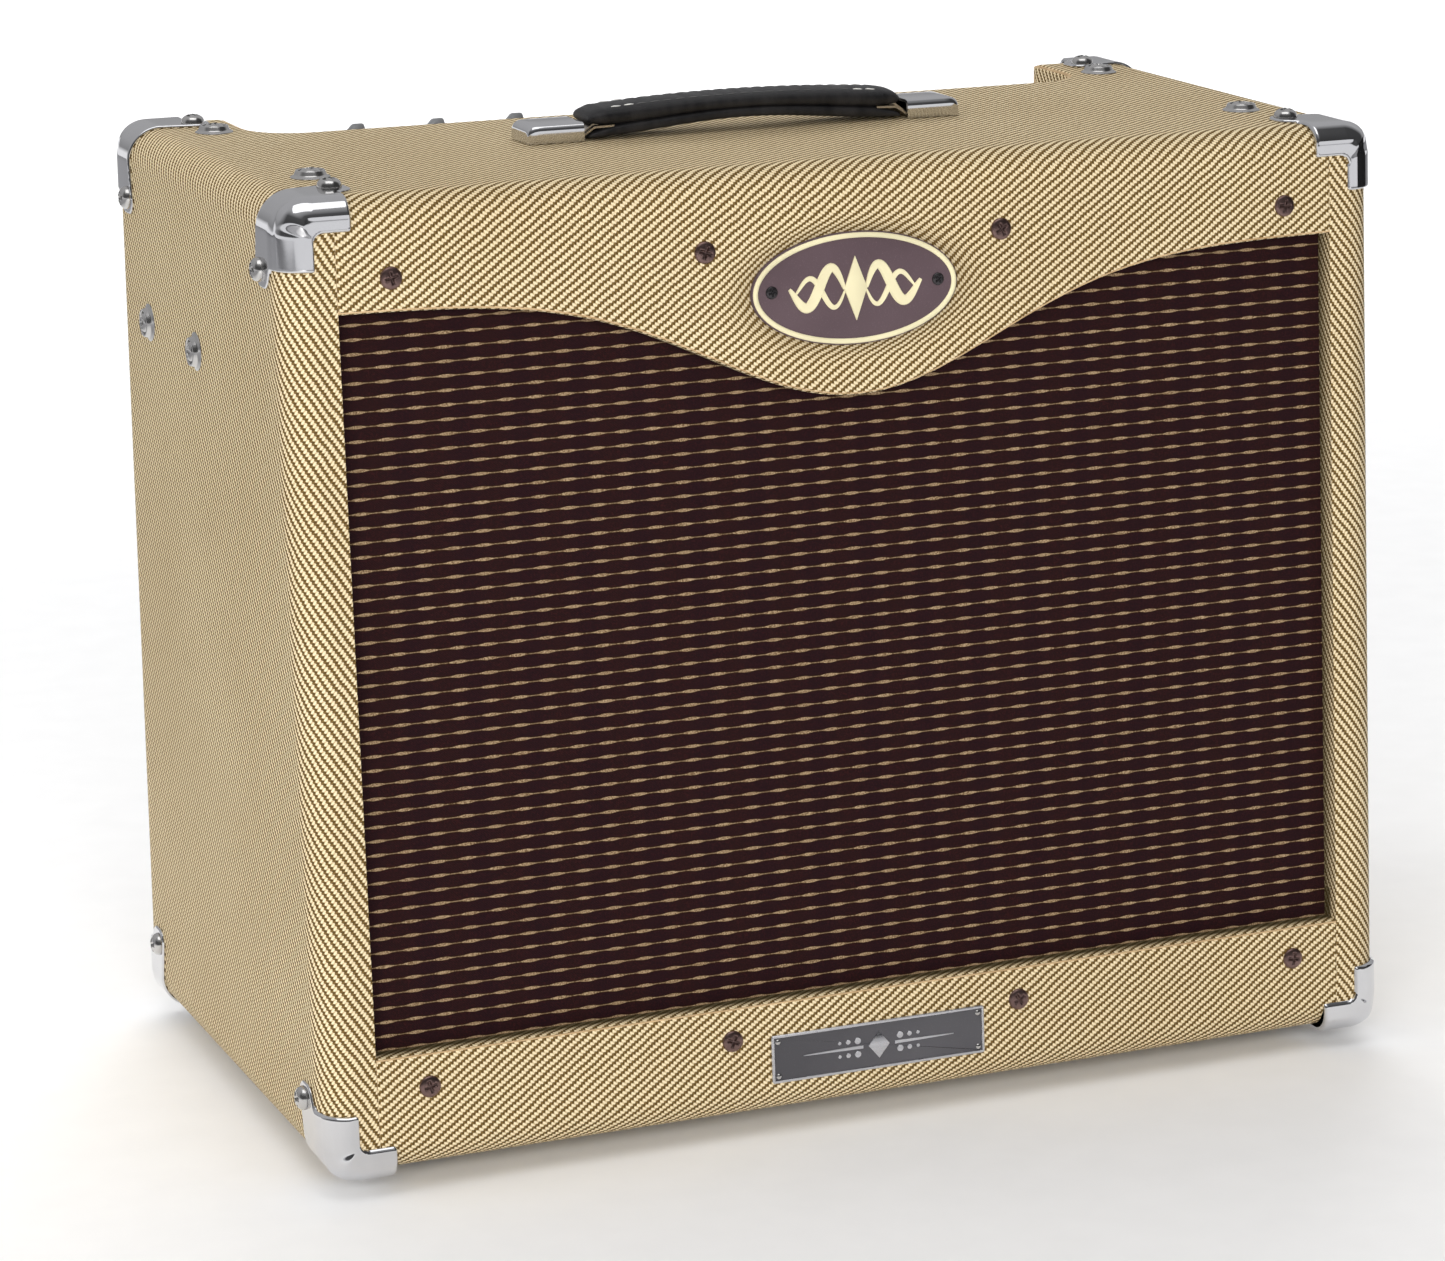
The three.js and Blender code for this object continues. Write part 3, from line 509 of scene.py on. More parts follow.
def worn(
    name, color, roughness, metallic=0.0, spread=0.06, grain=900, bump=0.02, speckle=0.0, **inputs,
):
    """A plain finish with uneven gloss, faint colour drift and fine surface texture."""
    p = Paint(name, roughness, metallic, color, **inputs)
    where = p.position()
    drift = p.noise(where, 14, 4)
    lighter = tuple(min(1, c * 1.18 + 0.004) for c in color)
    base = p.mix(p.fit(drift, 0.35, 0.65), tuple(c * 0.88 for c in color), lighter)
    if speckle:
        spots = p.fit(p.noise(where, grain * 1.4, 1), 0.62, 0.72)
        base = p.mix(p.times(spots, speckle), base, tuple(min(1, c * 2.2 + 0.05) for c in color))
    p.set("Base Color", base)
    smudge = p.fit(p.noise(where, 45, 5, 0.6), 0.3, 0.7, max(0.02, roughness - spread), roughness + spread)
    p.set("Roughness", smudge)
    p.bump(p.noise(where, grain, 3), bump)
    return p.material


def metal(name, color, roughness, brushed=None, spread=0.04, grime_and_shade=0.0, relief=0.6):
    """A metal with smudges; brushed stretches its grain, and a distance in mm darkens and dulls the hollows
    of that size: painted shade with some grime.
    """
    p = Paint(name, roughness, 1.0, color)
    where = p.position()
    stretch = p.scaled(where, *(brushed or (1, 1, 1)))
    fine = p.noise(stretch, 700 if brushed else 160, 3)
    smudge = p.noise(where, 30, 5, 0.65)
    rough = p.fit(smudge, 0.3, 0.7, max(0.02, roughness - spread), roughness + spread * 1.5)
    if brushed:
        rough = p.plus(rough, p.fit(fine, 0.3, 0.7, -0.05, 0.1))
    p.set("Roughness", rough)
    base = p.mix(p.fit(smudge, 0.25, 0.75), tuple(c * 0.9 for c in color), color)
    if grime_and_shade:
        # painted shade with some grime: ambient occlusion darkens the hollows and takes away their shine
        open_sky = p.node("ShaderNodeAmbientOcclusion", {"Distance": grime_and_shade * MM}, samples=6).outputs["AO"]
        open_sky = p.fit(open_sky, 0.35, 0.8)
        base = p.mix(open_sky, tuple(c * 0.06 for c in color), base)
        p.set("Metallic", p.fit(open_sky, 0, 1, 0.3, 1))
    p.set("Base Color", base)
    p.bump(fine, 0.01, relief)
    return p.material


def tweed_material():
    """Cream ridges with rope-like strands, between brown furrows, in the cloth's own coordinates."""
    p = Paint("tweed_cloth", 0.62)
    uv = p.node("ShaderNodeUVMap", uv_map="cloth").outputs[0]
    wander = p.noise(uv, 120, 2)
    u, v, _ = p.parts(uv)
    x, y, z = p.parts(p.position())
    # round the badge the cloth is pressed in, which draws its stripes together
    off = [p.math("SUBTRACT", a, at * MM) for a, at in zip((x, z), BADGE_AT)]
    share = [
        p.math("POWER", p.math("ABSOLUTE", p.math("DIVIDE", d, half * MM)), 2)
        for d, half in zip(off, BADGE_HALF)
    ]
    near = p.math("POWER", p.fit(p.math("SQRT", p.plus(*share)), 1.0, 1.38, 1, 0), 2)
    u, v = (
        p.math("SUBTRACT", a, p.times(near, p.times(d, PRESSED_IN / half)))
        for a, d, half in zip((u, v), off, BADGE_HALF)
    )
    turn = 2 * math.pi / MM
    drift = p.fit(wander, 0, 1, -1.3, 1.3)

    def phase(sideways, along, extra):
        """An angle that grows by so many turns a millimetre each way over the cloth."""
        a = p.times(u, sideways * turn)
        b = p.math("MULTIPLY_ADD", v, along * turn, a)
        return p.plus(b, extra)

    strand = p.math("SINE", phase(0.578, 0.254, drift))
    jag = p.math("MULTIPLY_ADD", strand, 0.55, drift)
    stripe = p.math("SINE", phase(0.197, -0.268, jag))
    thread = p.math("SINE", phase(0.381, 0.522, drift))
    cream_share = p.fit(stripe, -0.38, 0.26)
    fuzz = p.noise(uv, 2600, 2)
    brown = p.mix(p.fit(strand, -1, 1), (0.085, 0.048, 0.011), (0.195, 0.122, 0.038))
    cream = p.mix(p.fit(thread, -1, 1), (0.540, 0.415, 0.225), (0.930, 0.790, 0.540))
    cream = p.mix(p.fit(strand, -0.2, 1, 0, 0.6), cream, (0.960, 0.840, 0.590))
    color = p.mix(cream_share, brown, cream)
    color = p.mix(p.fit(fuzz, 0.3, 0.7, 0, 0.12), color, (0.30, 0.22, 0.12))
    patches = p.noise(p.position(), 9, 3)
    color = p.mix(p.fit(patches, 0.35, 0.7, 0, 0.14), color, (0.55, 0.40, 0.20), "MULTIPLY")
    foot = (FRONT_BOTTOM - BASE * math.tan(LEAN)) * MM
    depth = p.math("SUBTRACT", p.math("MULTIPLY_ADD", z, -math.tan(LEAN), y), foot)
    deep = p.fit(depth, 0.002, 0.0095, 0, 0.80)  # painted shade: inside the grille's opening the cloth darkens
    # painted shadow: the lower rail's top edge darkens, as if the grille began right behind its rounding
    ledge = p.times(p.fit(depth, 0.0032, 0.0062, 0, 0.9), p.math("LESS_THAN", z, (BASE + 64) * MM))
    shade = p.math("MAXIMUM", deep, ledge)
    for operation, value, bound in (
        ("LESS_THAN", depth, 0.03),
        ("LESS_THAN", p.math("ABSOLUTE", x), (SEAM + 3) * MM),
        ("LESS_THAN", z, (TOP - 30) * MM),
        ("GREATER_THAN", z, (BASE + 20) * MM),
    ):
        shade = p.times(shade, p.math(operation, value, bound))
    color = p.mix(shade, color, (0.045, 0.032, 0.010))
    # painted shade where the cloth slopes in beside the badge
    color = p.mix(p.times(near, 0.35), color, (0.10, 0.06, 0.02))
    p.set("Base Color", color)
    p.set("Roughness", p.fit(cream_share, 0, 1, 0.78, 0.52))
    p.set("Specular IOR Level", 0.12)
    height = p.plus(cream_share, p.times(strand, 0.35))
    height = p.math("MULTIPLY_ADD", fuzz, 0.25, height)
    p.bump(height, 0.22, 0.9)
    return p.material


def grille_material():
    """Dark warp and weft with rows of gold slubs."""
    p = Paint("grille_weave", 0.8)
    where = p.position()
    x, _, z = p.parts(where)
    turn = 2 * math.pi / MM
    row_pitch, slub_pitch = 5.95 * COS, 12.8
    wander = p.fit(p.noise(where, 40, 2), 0, 1, -0.9, 0.9)
    sway = p.fit(p.noise(p.scaled(where, 1, 1, 0.05), 9, 2), 0, 1, -1.0, 1.0)
    row = p.math("COSINE", p.math("MULTIPLY_ADD", z, turn / row_pitch, p.times(wander, 0.10)))
    slub = p.math(
        "COSINE",
        p.math("MULTIPLY_ADD", x, turn / slub_pitch, p.plus(sway, p.times(wander, 0.35))),
    )
    width = p.fit(slub, -0.55, 0.9, 0.17, 0.52)
    edge = p.math("SUBTRACT", row, p.math("SUBTRACT", 1.0, p.times(width, width)))
    fine_x = p.math("SINE", p.times(x, turn / 0.62))
    fine_z = p.math("SINE", p.times(z, turn / 0.78))
    weave = p.times(fine_x, fine_z)
    ragged = p.math("MULTIPLY_ADD", weave, 0.02, edge)
    gold_share = p.fit(ragged, -0.01, 0.03)
    shade_share = p.fit(edge, -0.25, -0.01, 0.0, 0.8)
    fuzz = p.noise(where, 1900, 2)
    dark = p.mix(p.fit(weave, -1, 1), (0.006, 0.0027, 0.0030), (0.030, 0.0118, 0.0125))
    red = p.times(p.fit(fuzz, 0.52, 0.62), 0.5)
    dark = p.mix(red, dark, (0.048, 0.0115, 0.012))
    band = p.fit(p.math("SINE", p.times(x, turn / (slub_pitch * 2))), -1, 1, 0, 0.25)
    dark = p.mix(band, dark, (0.012, 0.005, 0.010))
    dark = p.mix(shade_share, dark, (0.030, 0.012, 0.003))
    gold = p.mix(p.fit(fuzz, 0.35, 0.65), (0.120, 0.068, 0.032), (0.440, 0.315, 0.190))
    p.set("Base Color", p.mix(gold_share, dark, gold))
    p.set("Roughness", p.fit(gold_share, 0, 1, 0.9, 0.6))
    p.set("Specular IOR Level", 0.1)
    height = p.plus(p.times(gold_share, 1.5), p.times(weave, 0.35))
    p.bump(height, 0.22, 0.8)
    return p.material


def plywood_material():
    p = Paint("plywood", 0.62)
    where = p.position()
    grain = p.noise(p.scaled(where, 1, 12, 12), 22, 6, 0.6, 0.4)
    pores = p.noise(p.scaled(where, 1, 30, 30), 120, 2)
    base = p.mix(p.fit(grain, 0.3, 0.7), (0.42, 0.27, 0.13), (0.66, 0.48, 0.28))
    base = p.mix(p.fit(pores, 0.58, 0.7, 0, 0.5), base, (0.22, 0.12, 0.05))
    p.set("Base Color", base)
    p.bump(p.plus(grain, p.times(pores, 0.5)), 0.12)
    return p.material


def leather_material():
    p = Paint("strap_leather", 0.42, 0.0, (0.012, 0.012, 0.013), Specular_IOR_Level=0.32)
    where = p.position()
    cell = p.node(
        "ShaderNodeTexVoronoi", {"Vector": where, "Scale": 1100.0}, feature="DISTANCE_TO_EDGE",
    ).outputs[0]
    folds = p.noise(p.scaled(where, 3, 1, 1), 60, 4)
    p.set("Base Color", p.mix(p.fit(folds, 0.35, 0.7), (0.008, 0.008, 0.009), (0.022, 0.021, 0.022)))
    p.set("Roughness", p.fit(folds, 0.3, 0.7, 0.34, 0.52))
    p.bump(p.plus(p.fit(cell, 0, 0.2), p.times(folds, 1.5)), 0.06)
    return p.material


def paper_material():
    p = Paint("cone_paper", 0.9)
    where = p.position()
    fibre = p.noise(p.scaled(where, 1, 6, 1), 260, 4, 0.7)
    p.set("Base Color", p.mix(p.fit(fibre, 0.3, 0.7), (0.014, 0.013, 0.013), (0.052, 0.048, 0.045)))
    p.bump(fibre, 0.2)
    return p.material


def board_material():
    p = Paint("circuit_green", 0.35, 0.0, (0.02, 0.11, 0.05))
    where = p.position()
    tracks = p.node(
        "ShaderNodeTexBrick", {"Vector": p.scaled(where, 1, 1, 1), "Scale": 120.0, "Mortar Size": 0.03},
    ).outputs["Fac"]
    p.set("Base Color", p.mix(tracks, (0.015, 0.085, 0.035), (0.05, 0.20, 0.09)))
    p.bump(tracks, 0.05)
    return p.material


def lamination_material():
    p = Paint("core_laminations", 0.45, 0.7, (0.03, 0.03, 0.032))
    where = p.position()
    _, y, _ = p.parts(where)
    sheets = p.math("SINE", p.times(y, 2 * math.pi / (1.2 * MM)))
    rust = p.noise(where, 130, 5)
    p.set("Base Color", p.mix(p.fit(rust, 0.62, 0.8), (0.022, 0.022, 0.024), (0.10, 0.05, 0.025)))
    p.bump(p.fit(sheets, -1, 0.4), 0.25)
    return p.material


def glass_material(name, color, roughness=0.02, grime_and_shade=0.05):
    p = Paint(name, roughness, 0.0, color, Transmission_Weight=1.0, IOR=1.48)
    where = p.position()
    p.set("Roughness", p.fit(p.noise(where, 60, 4), 0.35, 0.7, roughness, roughness + grime_and_shade))
    p.bump(p.noise(where, 90, 2), 0.02)
    return p.material


TWEED = tweed_material()
GRILLE = grille_material()
PLYWOOD = plywood_material()
LEATHER = leather_material()
PAPER = paper_material()
CHROME = metal("chrome_plate", (0.70, 0.70, 0.715), 0.055, spread=0.025, relief=0.25)
NICKEL = metal("nickel_screws", (0.60, 0.59, 0.58), 0.16, grime_and_shade=1.0)
PANEL_CHROME = metal("panel_chrome", (0.72, 0.73, 0.75), 0.16, brushed=(0.04, 1, 1))
STEEL = metal("band_steel", (0.55, 0.50, 0.43), 0.28, brushed=(0.1, 1, 1))
BRONZE = metal("bronze_screws", (0.230, 0.150, 0.138), 0.34, spread=0.08, grime_and_shade=0.9)
ZINC = metal("zinc_plate", (0.60, 0.61, 0.60), 0.34, spread=0.10)
BADGE_FIELD = worn(
    "badge_field", (0.095, 0.064, 0.074), 0.5, 0.0, 0.06, 1500, 0.03, speckle=0.18, Specular_IOR_Level=0.25,
)
CREAM = worn("badge_cream", (0.72, 0.66, 0.43), 0.40, 0.0, 0.05, 700, 0.02)
PLATE_FIELD = worn(
    "plate_field", (0.072, 0.070, 0.078), 0.45, 0.0, 0.06, 1500, 0.02, speckle=0.1, Specular_IOR_Level=0.3,
)
PLATE_RIM = metal("plate_silver", (0.66, 0.66, 0.69), 0.24, brushed=(0.05, 1, 1))
BLACK_SCREW = worn("black_screws", (0.045, 0.042, 0.045), 0.26, 0.7, 0.05)
KNOB_GREY = worn("knob_grey", (0.155, 0.160, 0.168), 0.34, 0.0, 0.06, 900, 0.02)
BLACK_PLASTIC = worn("moulded_black", (0.014, 0.014, 0.015), 0.34, 0.0, 0.08, 1100, 0.03)
RUBBER = worn("foot_rubber", (0.016, 0.016, 0.016), 0.82, 0.0, 0.05, 500, 0.15)
# pale thread for the strap's end stitches: painted highlight
HIGHLIT_THREAD = worn("stitch_thread_highlight", (0.56, 0.56, 0.54), 0.7, 0.0, 0.05, 2600, 0.05)
DARK_THREAD = worn("dull_thread", (0.10, 0.10, 0.10), 0.8, 0.0, 0.05, 2600, 0.05, Specular_IOR_Level=0.2)
PRINT = worn("panel_print", (0.012, 0.012, 0.012), 0.5, 0.0, 0.04)
BLACK_ENAMEL = worn("black_enamel", (0.018, 0.018, 0.02), 0.38, 0.0, 0.07, 1200, 0.03, Coat_Weight=0.3)
FERRITE = worn("ferrite", (0.028, 0.027, 0.028), 0.62, 0.2, 0.08, 600, 0.1, speckle=0.1)
WINDING = worn("winding_paper", (0.50, 0.33, 0.10), 0.55, 0.0, 0.06, 300, 0.1)
LAMINATIONS = lamination_material()
BOARD = board_material()
GETTER = metal("getter_silver", (0.50, 0.49, 0.47), 0.12)
ANODE = worn("anode_grey", (0.045, 0.045, 0.048), 0.55, 0.6, 0.08, 600, 0.05)
GLASS = glass_material("valve_glass", (0.93, 0.96, 0.97))
JEWEL = glass_material("lamp_red", (0.78, 0.02, 0.03), 0.05)


def finish_node(node, material):
    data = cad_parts[node].data
    data.materials.clear()
    data.materials.append(material)


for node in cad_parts:
    finish_node(node, BLACK_ENAMEL)
for node in (
    "side_panel_left", "side_panel_right", "top_panel", "bottom_panel", "front_top_rail", "front_bottom_rail",
    "baffle_board", "lower_rear_panel",
):
    finish_node(node, PLYWOOD)
finish_node("grille_cloth", GRILLE)
for node, material in (
    ("chassis", PANEL_CHROME), ("control_board", BOARD), ("power_transformer", LAMINATIONS),
    ("output_transformer", LAMINATIONS), ("reverb_tank", ZINC),
):
    finish_node(node, material)

# ---------------------------------------------------------------- camera and light

LENS = 115.42
CAMERA_AT = (-0.77687, -1.86451, 0.71114)
CAMERA_YAW, CAMERA_PITCH, CAMERA_ROLL = (math.radians(a) for a in (22.233, -14.549, -0.603))


def set_camera():
    data = bpy.data.cameras.new("view")
    data.sensor_width = 36
    data.lens = LENS
    data.clip_end = 60
    camera = linked("view", data)
    ahead = Vector((
        math.sin(CAMERA_YAW) * math.cos(CAMERA_PITCH),
        math.cos(CAMERA_YAW) * math.cos(CAMERA_PITCH),
        math.sin(CAMERA_PITCH),
    ))
    level = Vector((math.cos(CAMERA_YAW), -math.sin(CAMERA_YAW), 0))
    above = level.cross(ahead)
    right = level * math.cos(CAMERA_ROLL) + above * math.sin(CAMERA_ROLL)
    up = right.cross(ahead)
    camera.matrix_world = axes(right, up, -ahead, CAMERA_AT)
    bpy.context.scene.camera = camera


FRONT_SKY = ((0.0, 0.90), (1.0, 0.50), (0.03, 0.07), (0.5, 0.10), (0.8, 0.40))  # brightness by height
RIGHT_SKY = ((0.0, 0.90), (1.0, 0.40), (0.04, 0.05), (0.9, 0.07))
REAR_SKY = ((0.0, 1.0), (1.0, 0.50), (0.06, 0.30), (0.2, 0.42), (0.6, 0.50))
FLOOR_HALF = 4.5  # half the floor's side, in metres
CARD_X, CARD_Y, CARD_Z = 0.86, (-0.62, 0.05), (0.14, 0.5)  # a card seen only in the chrome, in metres


def backdrop(name, corners, material):
    """A four-cornered sheet of the studio, in metres."""
    mesh = bpy.data.meshes.new(name)
    mesh.from_pydata(corners, [], [(0, 1, 2, 3)])
    mesh.materials.append(material)
    obj = linked(name, mesh)
    return obj


def lamp(name, at, target, size, watts, color=(1, 1, 1), mirrored=True):
    data = bpy.data.lights.new(name, "AREA")
    data.shape = "RECTANGLE"
    data.size, data.size_y = size
    data.energy = watts
    data.color = color
    obj = linked(name, data)
    obj.visible_glossy = mirrored
    obj.location = at
    obj.rotation_euler = (Vector(target) - Vector(at)).to_track_quat("-Z", "Y").to_euler()


def studio():
    world = bpy.data.worlds.new("studio")
    world.use_nodes = True
    background = world.node_tree.nodes["Background"]
    nodes, links = world.node_tree.nodes, world.node_tree.links
    way = nodes.new("ShaderNodeSeparateXYZ")
    links.new(nodes.new("ShaderNodeTexCoord").outputs["Generated"], way.inputs[0])

    def by_height(levels):
        sky = nodes.new("ShaderNodeValToRGB")
        links.new(way.outputs[2], sky.inputs[0])
        ramp = sky.color_ramp.elements
        for k, (z, level) in enumerate(levels):
            stop = ramp[k] if k < 2 else ramp.new(z)
            stop.position, stop.color = z, (level, level, level * 1.02, 1)
        return sky.outputs[0]

    def blended(axis, low, high, first, second):
        share = nodes.new("ShaderNodeMapRange")
        links.new(way.outputs[axis], share.inputs[0])
        share.inputs[1].default_value, share.inputs[2].default_value = low, high
        mix = nodes.new("ShaderNodeMix")
        mix.data_type = "RGBA"
        for socket, source in ((0, share.outputs[0]), (6, first), (7, second)):
            links.new(source, mix.inputs[socket])
        return mix.outputs[2]

    ahead = blended(0, 0.34, 0.5, by_height(FRONT_SKY), by_height(RIGHT_SKY))
    links.new(blended(1, -0.1, 0.25, ahead, by_height(REAR_SKY)), background.inputs[0])
    background.inputs[1].default_value = 1.0
    bpy.context.scene.world = world
    bpy.context.scene.view_settings.view_transform = "Standard"
    lamp("front", (-1.2, -3.0, 1.15), (0, 0, 0.2), (2.6, 1.8), 97, (1, 0.985, 0.96), mirrored=False)
    lamp("left", (-3.2, 0.2, 1.3), (0, 0, 0.2), (2.2, 1.6), 34, mirrored=False)
    lamp("overhead", (-0.3, -0.7, 2.9), (0, 0, 0.3), (2.4, 1.8), 17)
    lamp("back", (1.2, 3.6, 2.6), (0.6, 1.6, 0.0), (3.4, 1.6), 110, mirrored=False)
    p = Paint("studio_floor", 0.9, Specular_IOR_Level=0.1)
    x, y, _ = p.parts(p.position())
    # the floor is pale inside the camera's view and darker outside it, for the chrome
    left = p.fit(p.math("MULTIPLY_ADD", y, -0.236, x), -0.9, -0.42)
    right = p.fit(p.math("SUBTRACT", p.times(y, 0.6), x), -1.3, -0.62)
    shade = p.times(left, right)
    pale = p.mix(p.fit(p.noise(p.position(), 40, 4), 0.3, 0.7), (0.93, 0.93, 0.93), (0.95, 0.95, 0.95))
    p.set("Base Color", p.mix(shade, (0.34, 0.34, 0.35), pale))
    backdrop(
        "floor", [(x * FLOOR_HALF, y * FLOOR_HALF, 0) for x, y in ((-1, -1), (1, -1), (1, 1), (-1, 1))],
        p.material,
    )
    black = worn("card_black", (0.012, 0.012, 0.013), 0.9, 0.0, 0.05, 20, 0.0, Specular_IOR_Level=0.1)
    (y0, y1), (z0, z1) = CARD_Y, CARD_Z
    card = backdrop("dark_card", [(CARD_X, y, z) for y, z in ((y0, z0), (y1, z0), (y1, z1), (y0, z1))], black)
    card.visible_camera = card.visible_diffuse = card.visible_shadow = card.visible_transmission = False


set_camera()
studio()

# ---------------------------------------------------------------- tweed covering


def arc_lengths(points):
    steps = np.linalg.norm(np.diff(points, axis=0), axis=1)
    return np.concatenate([[0], np.cumsum(steps)])


def face_out(obj, centre=(0, 0, 0.21)):
    """Turns an open sheet's faces away from a point, and gives it the cloth's thickness inwards."""
    c = Vector(centre)
    with editing(obj.data) as bm:
        bmesh.ops.recalc_face_normals(bm, faces=bm.faces)
        bias = sum(f.normal.dot(f.calc_center_median() - c) * f.calc_area() for f in bm.faces)
        if bias < 0:
            bmesh.ops.reverse_faces(bm, faces=bm.faces)
        for e in bm.edges:
            e.smooth = not e.is_boundary
    modify(obj, "SOLIDIFY", thickness=CLOTH_THICK * MM, offset=-1, use_even_offset=True)


RAIL_EDGE = 2.6  # radius of the rails' wrapped edges
RAIL_DEPTH = 10.3
TOP_RAIL_HIGH = TOP - 45.3
JOIN = -66.0  # y where the top's covering meets the front rail's


def rail_edge(x):
    return TOP_RAIL_HIGH - 51.5 * math.exp(-((x / 93.0) ** 2))


def front_point(height, out):
    """y and z of a point at a height up the leaning face and a distance out of it."""
    return (FRONT_BOTTOM + height * SIN - out * COS, BASE + height * COS + out * SIN)


def strip(name, xs, profile, anchor):
    """A covering swept along x. profile(x) gives the corners and radii of its section in (y, z)."""
    rows, coords = [], []
    for x in xs:
        corners, radii = profile(x)
        line = fillet(corners, radii, 8, 0.6)
        length = arc_lengths(line)
        here = anchor(line, length)
        groove = 0.2 * max(0.0, 1 - (SEAM - abs(x)) / 1.0) ** 2
        sunk = np.where(line[:, 0] < front_y(TOP) + 6, groove, 0) * (np.abs(line[:, 1] - BASE) > 1)
        rows.append([(x, y + s, z) for (y, z), s in zip(line, sunk)])
        coords.append([(x, v) for v in here])
    count = len(rows[0])
    obj = build(
        name, np.array(rows).reshape(-1, 3), grid_faces(len(xs), count), TWEED, slot="tweed",
        uv=np.array(coords).reshape(-1, 2), closed=False,
    )
    face_out(obj)


def columns(half, count, edge=(0.35, 0.7, 1.1, 1.6)):
    inner = np.linspace(-half + 2.5, half - 2.5, count)
    rim = [half - e for e in edge]
    return np.concatenate([[-half], [-r for r in rim], inner, rim[::-1], [half]])


def top_strip():
    def profile(x):
        edge = (rail_edge(x) - BASE) / COS - 2 * CLOTH
        top_h = (TOP + CLOTH - BASE) / COS
        corners = [
            front_point(edge, -RAIL_DEPTH), front_point(edge, CLOTH),
            front_point(top_h - CLOTH * math.tan(LEAN), CLOTH), (JOIN, TOP + CLOTH),
        ]
        return corners, [0, RAIL_EDGE, EDGE + CLOTH, 0]

    def anchor(line, length):
        return length - length[-1] + JOIN

    strip("tweed_front_and_top", columns(SEAM, 150), profile, anchor)


def bottom_strip():
    def profile(x):
        high = (span("front_bottom_rail")[1][2] - BASE) / COS + 2 * CLOTH
        low = -CLOTH / COS
        corners = [
            front_point(high, -RAIL_DEPTH),
            front_point(high, CLOTH),
            front_point(low, CLOTH),
            (REAR + CLOTH, BASE - CLOTH),
            (REAR + CLOTH, BASE + 18 + CLOTH),
            (REAR - 12, BASE + 18 + CLOTH),
        ]
        return corners, [0, RAIL_EDGE, EDGE + CLOTH, EDGE + CLOTH, 1.6, 0]

    def anchor(line, length):
        k = np.argmin(np.abs(line[:, 0] - line[:, 0].min()))
        return -(length - length[k])

    strip("tweed_bottom", columns(SEAM, 60), profile, anchor)


def fold_rear(x, v, h):
    """A point of the top's covering, unfolded to (x, v) with a height, bent over the rear edge."""
    start = REAR - EDGE
    bend = EDGE * math.pi / 2
    if v <= start:
        return (x, v, TOP + h)
    if v <= start + bend:
        a = (v - start) / EDGE
        return (x, start + (EDGE + h) * math.sin(a), TOP - EDGE + (EDGE + h) * math.cos(a))
    return (x, REAR + h, TOP - EDGE - (v - start - bend))


CUTOUT_HALF, CUTOUT_FRONT, CUTOUT_ROUND, CUTOUT_FLARE = 202.0, 71.5, 25.0, 12.0
BAND_TURN = 150.0  # x on the front edge that the cut-out's corner is joined to


def top_cover():
    """The top's covering: a band from the outer edges to the cut-out, wrapped down its walls."""
    bend_end = REAR - EDGE + EDGE * math.pi / 2 + 0.8
    ear = list(np.linspace(bend_end, REAR - EDGE, 12)) + list(
        np.linspace(REAR - EDGE - 4, CUTOUT_FRONT + CUTOUT_ROUND, 5)
    )
    inner, outer = [], []
    for v in ear:
        y = REAR - EDGE + EDGE * math.sin(
            min(max(v - REAR + EDGE, 0) / EDGE, math.pi / 2)
        ) if v > REAR - EDGE else v
        over = max(0.0, y - (REAR - CUTOUT_FLARE))
        flare = CUTOUT_FLARE - math.sqrt(max(0.0, CUTOUT_FLARE ** 2 - over ** 2))
        inner.append((-(CUTOUT_HALF + flare), v))
        outer.append((-SEAM, v))
    for k in range(1, 11):
        a = math.pi / 2 * k / 10
        inner.append(
            (-CUTOUT_HALF + CUTOUT_ROUND * (1 - math.cos(a)), CUTOUT_FRONT + CUTOUT_ROUND * (1 - math.sin(a)))
        )
        if k <= 5:
            outer.append((-SEAM, CUTOUT_FRONT + CUTOUT_ROUND + (JOIN - CUTOUT_FRONT - CUTOUT_ROUND) * k / 5))
        else:
            outer.append((-SEAM + (SEAM - BAND_TURN) * (k - 5) / 5, JOIN))
    half_in = -CUTOUT_HALF + CUTOUT_ROUND
    for k in range(1, 13):
        inner.append((half_in * (1 - k / 12), CUTOUT_FRONT))
        outer.append((-BAND_TURN * (1 - k / 12), JOIN))
    inner = np.array(inner + [(-x, y) for x, y in inner[-2::-1]])
    outer = np.array(outer + [(-x, y) for x, y in outer[-2::-1]])
    normal = across(unit(np.gradient(inner, axis=0)))
    roll, wall = RAIL_EDGE, 13.0
    lip = inner - normal * (roll - CLOTH)
    rows, coords = [], []
    for t in (0, 0.3, 0.55, 0.75, 0.9, 0.97, 1):
        rows.append(lifted(outer + (lip - outer) * t, CLOTH))
        coords.append(outer + (lip - outer) * t)
    for k in range(1, 7):
        a = math.pi / 2 * k / 6
        level = CLOTH - roll * (1 - math.cos(a))
        rows.append(lifted(lip + normal * roll * math.sin(a), level))
        coords.append(lip + normal * roll * a)
    for down in (0.5, wall):
        rows.append(lifted(lip + normal * roll, CLOTH - roll - down))
        coords.append(lip + normal * (roll * math.pi / 2 + down))
    verts = [fold_rear(*p) for row in rows for p in row]
    obj = build(
        "tweed_top", verts, grid_faces(len(rows), len(inner)), TWEED, slot="tweed", uv=np.concatenate(coords),
        closed=False,
    )
    face_out(obj)


MID_HEIGHT = 200.0  # between the two halves of a side's covering


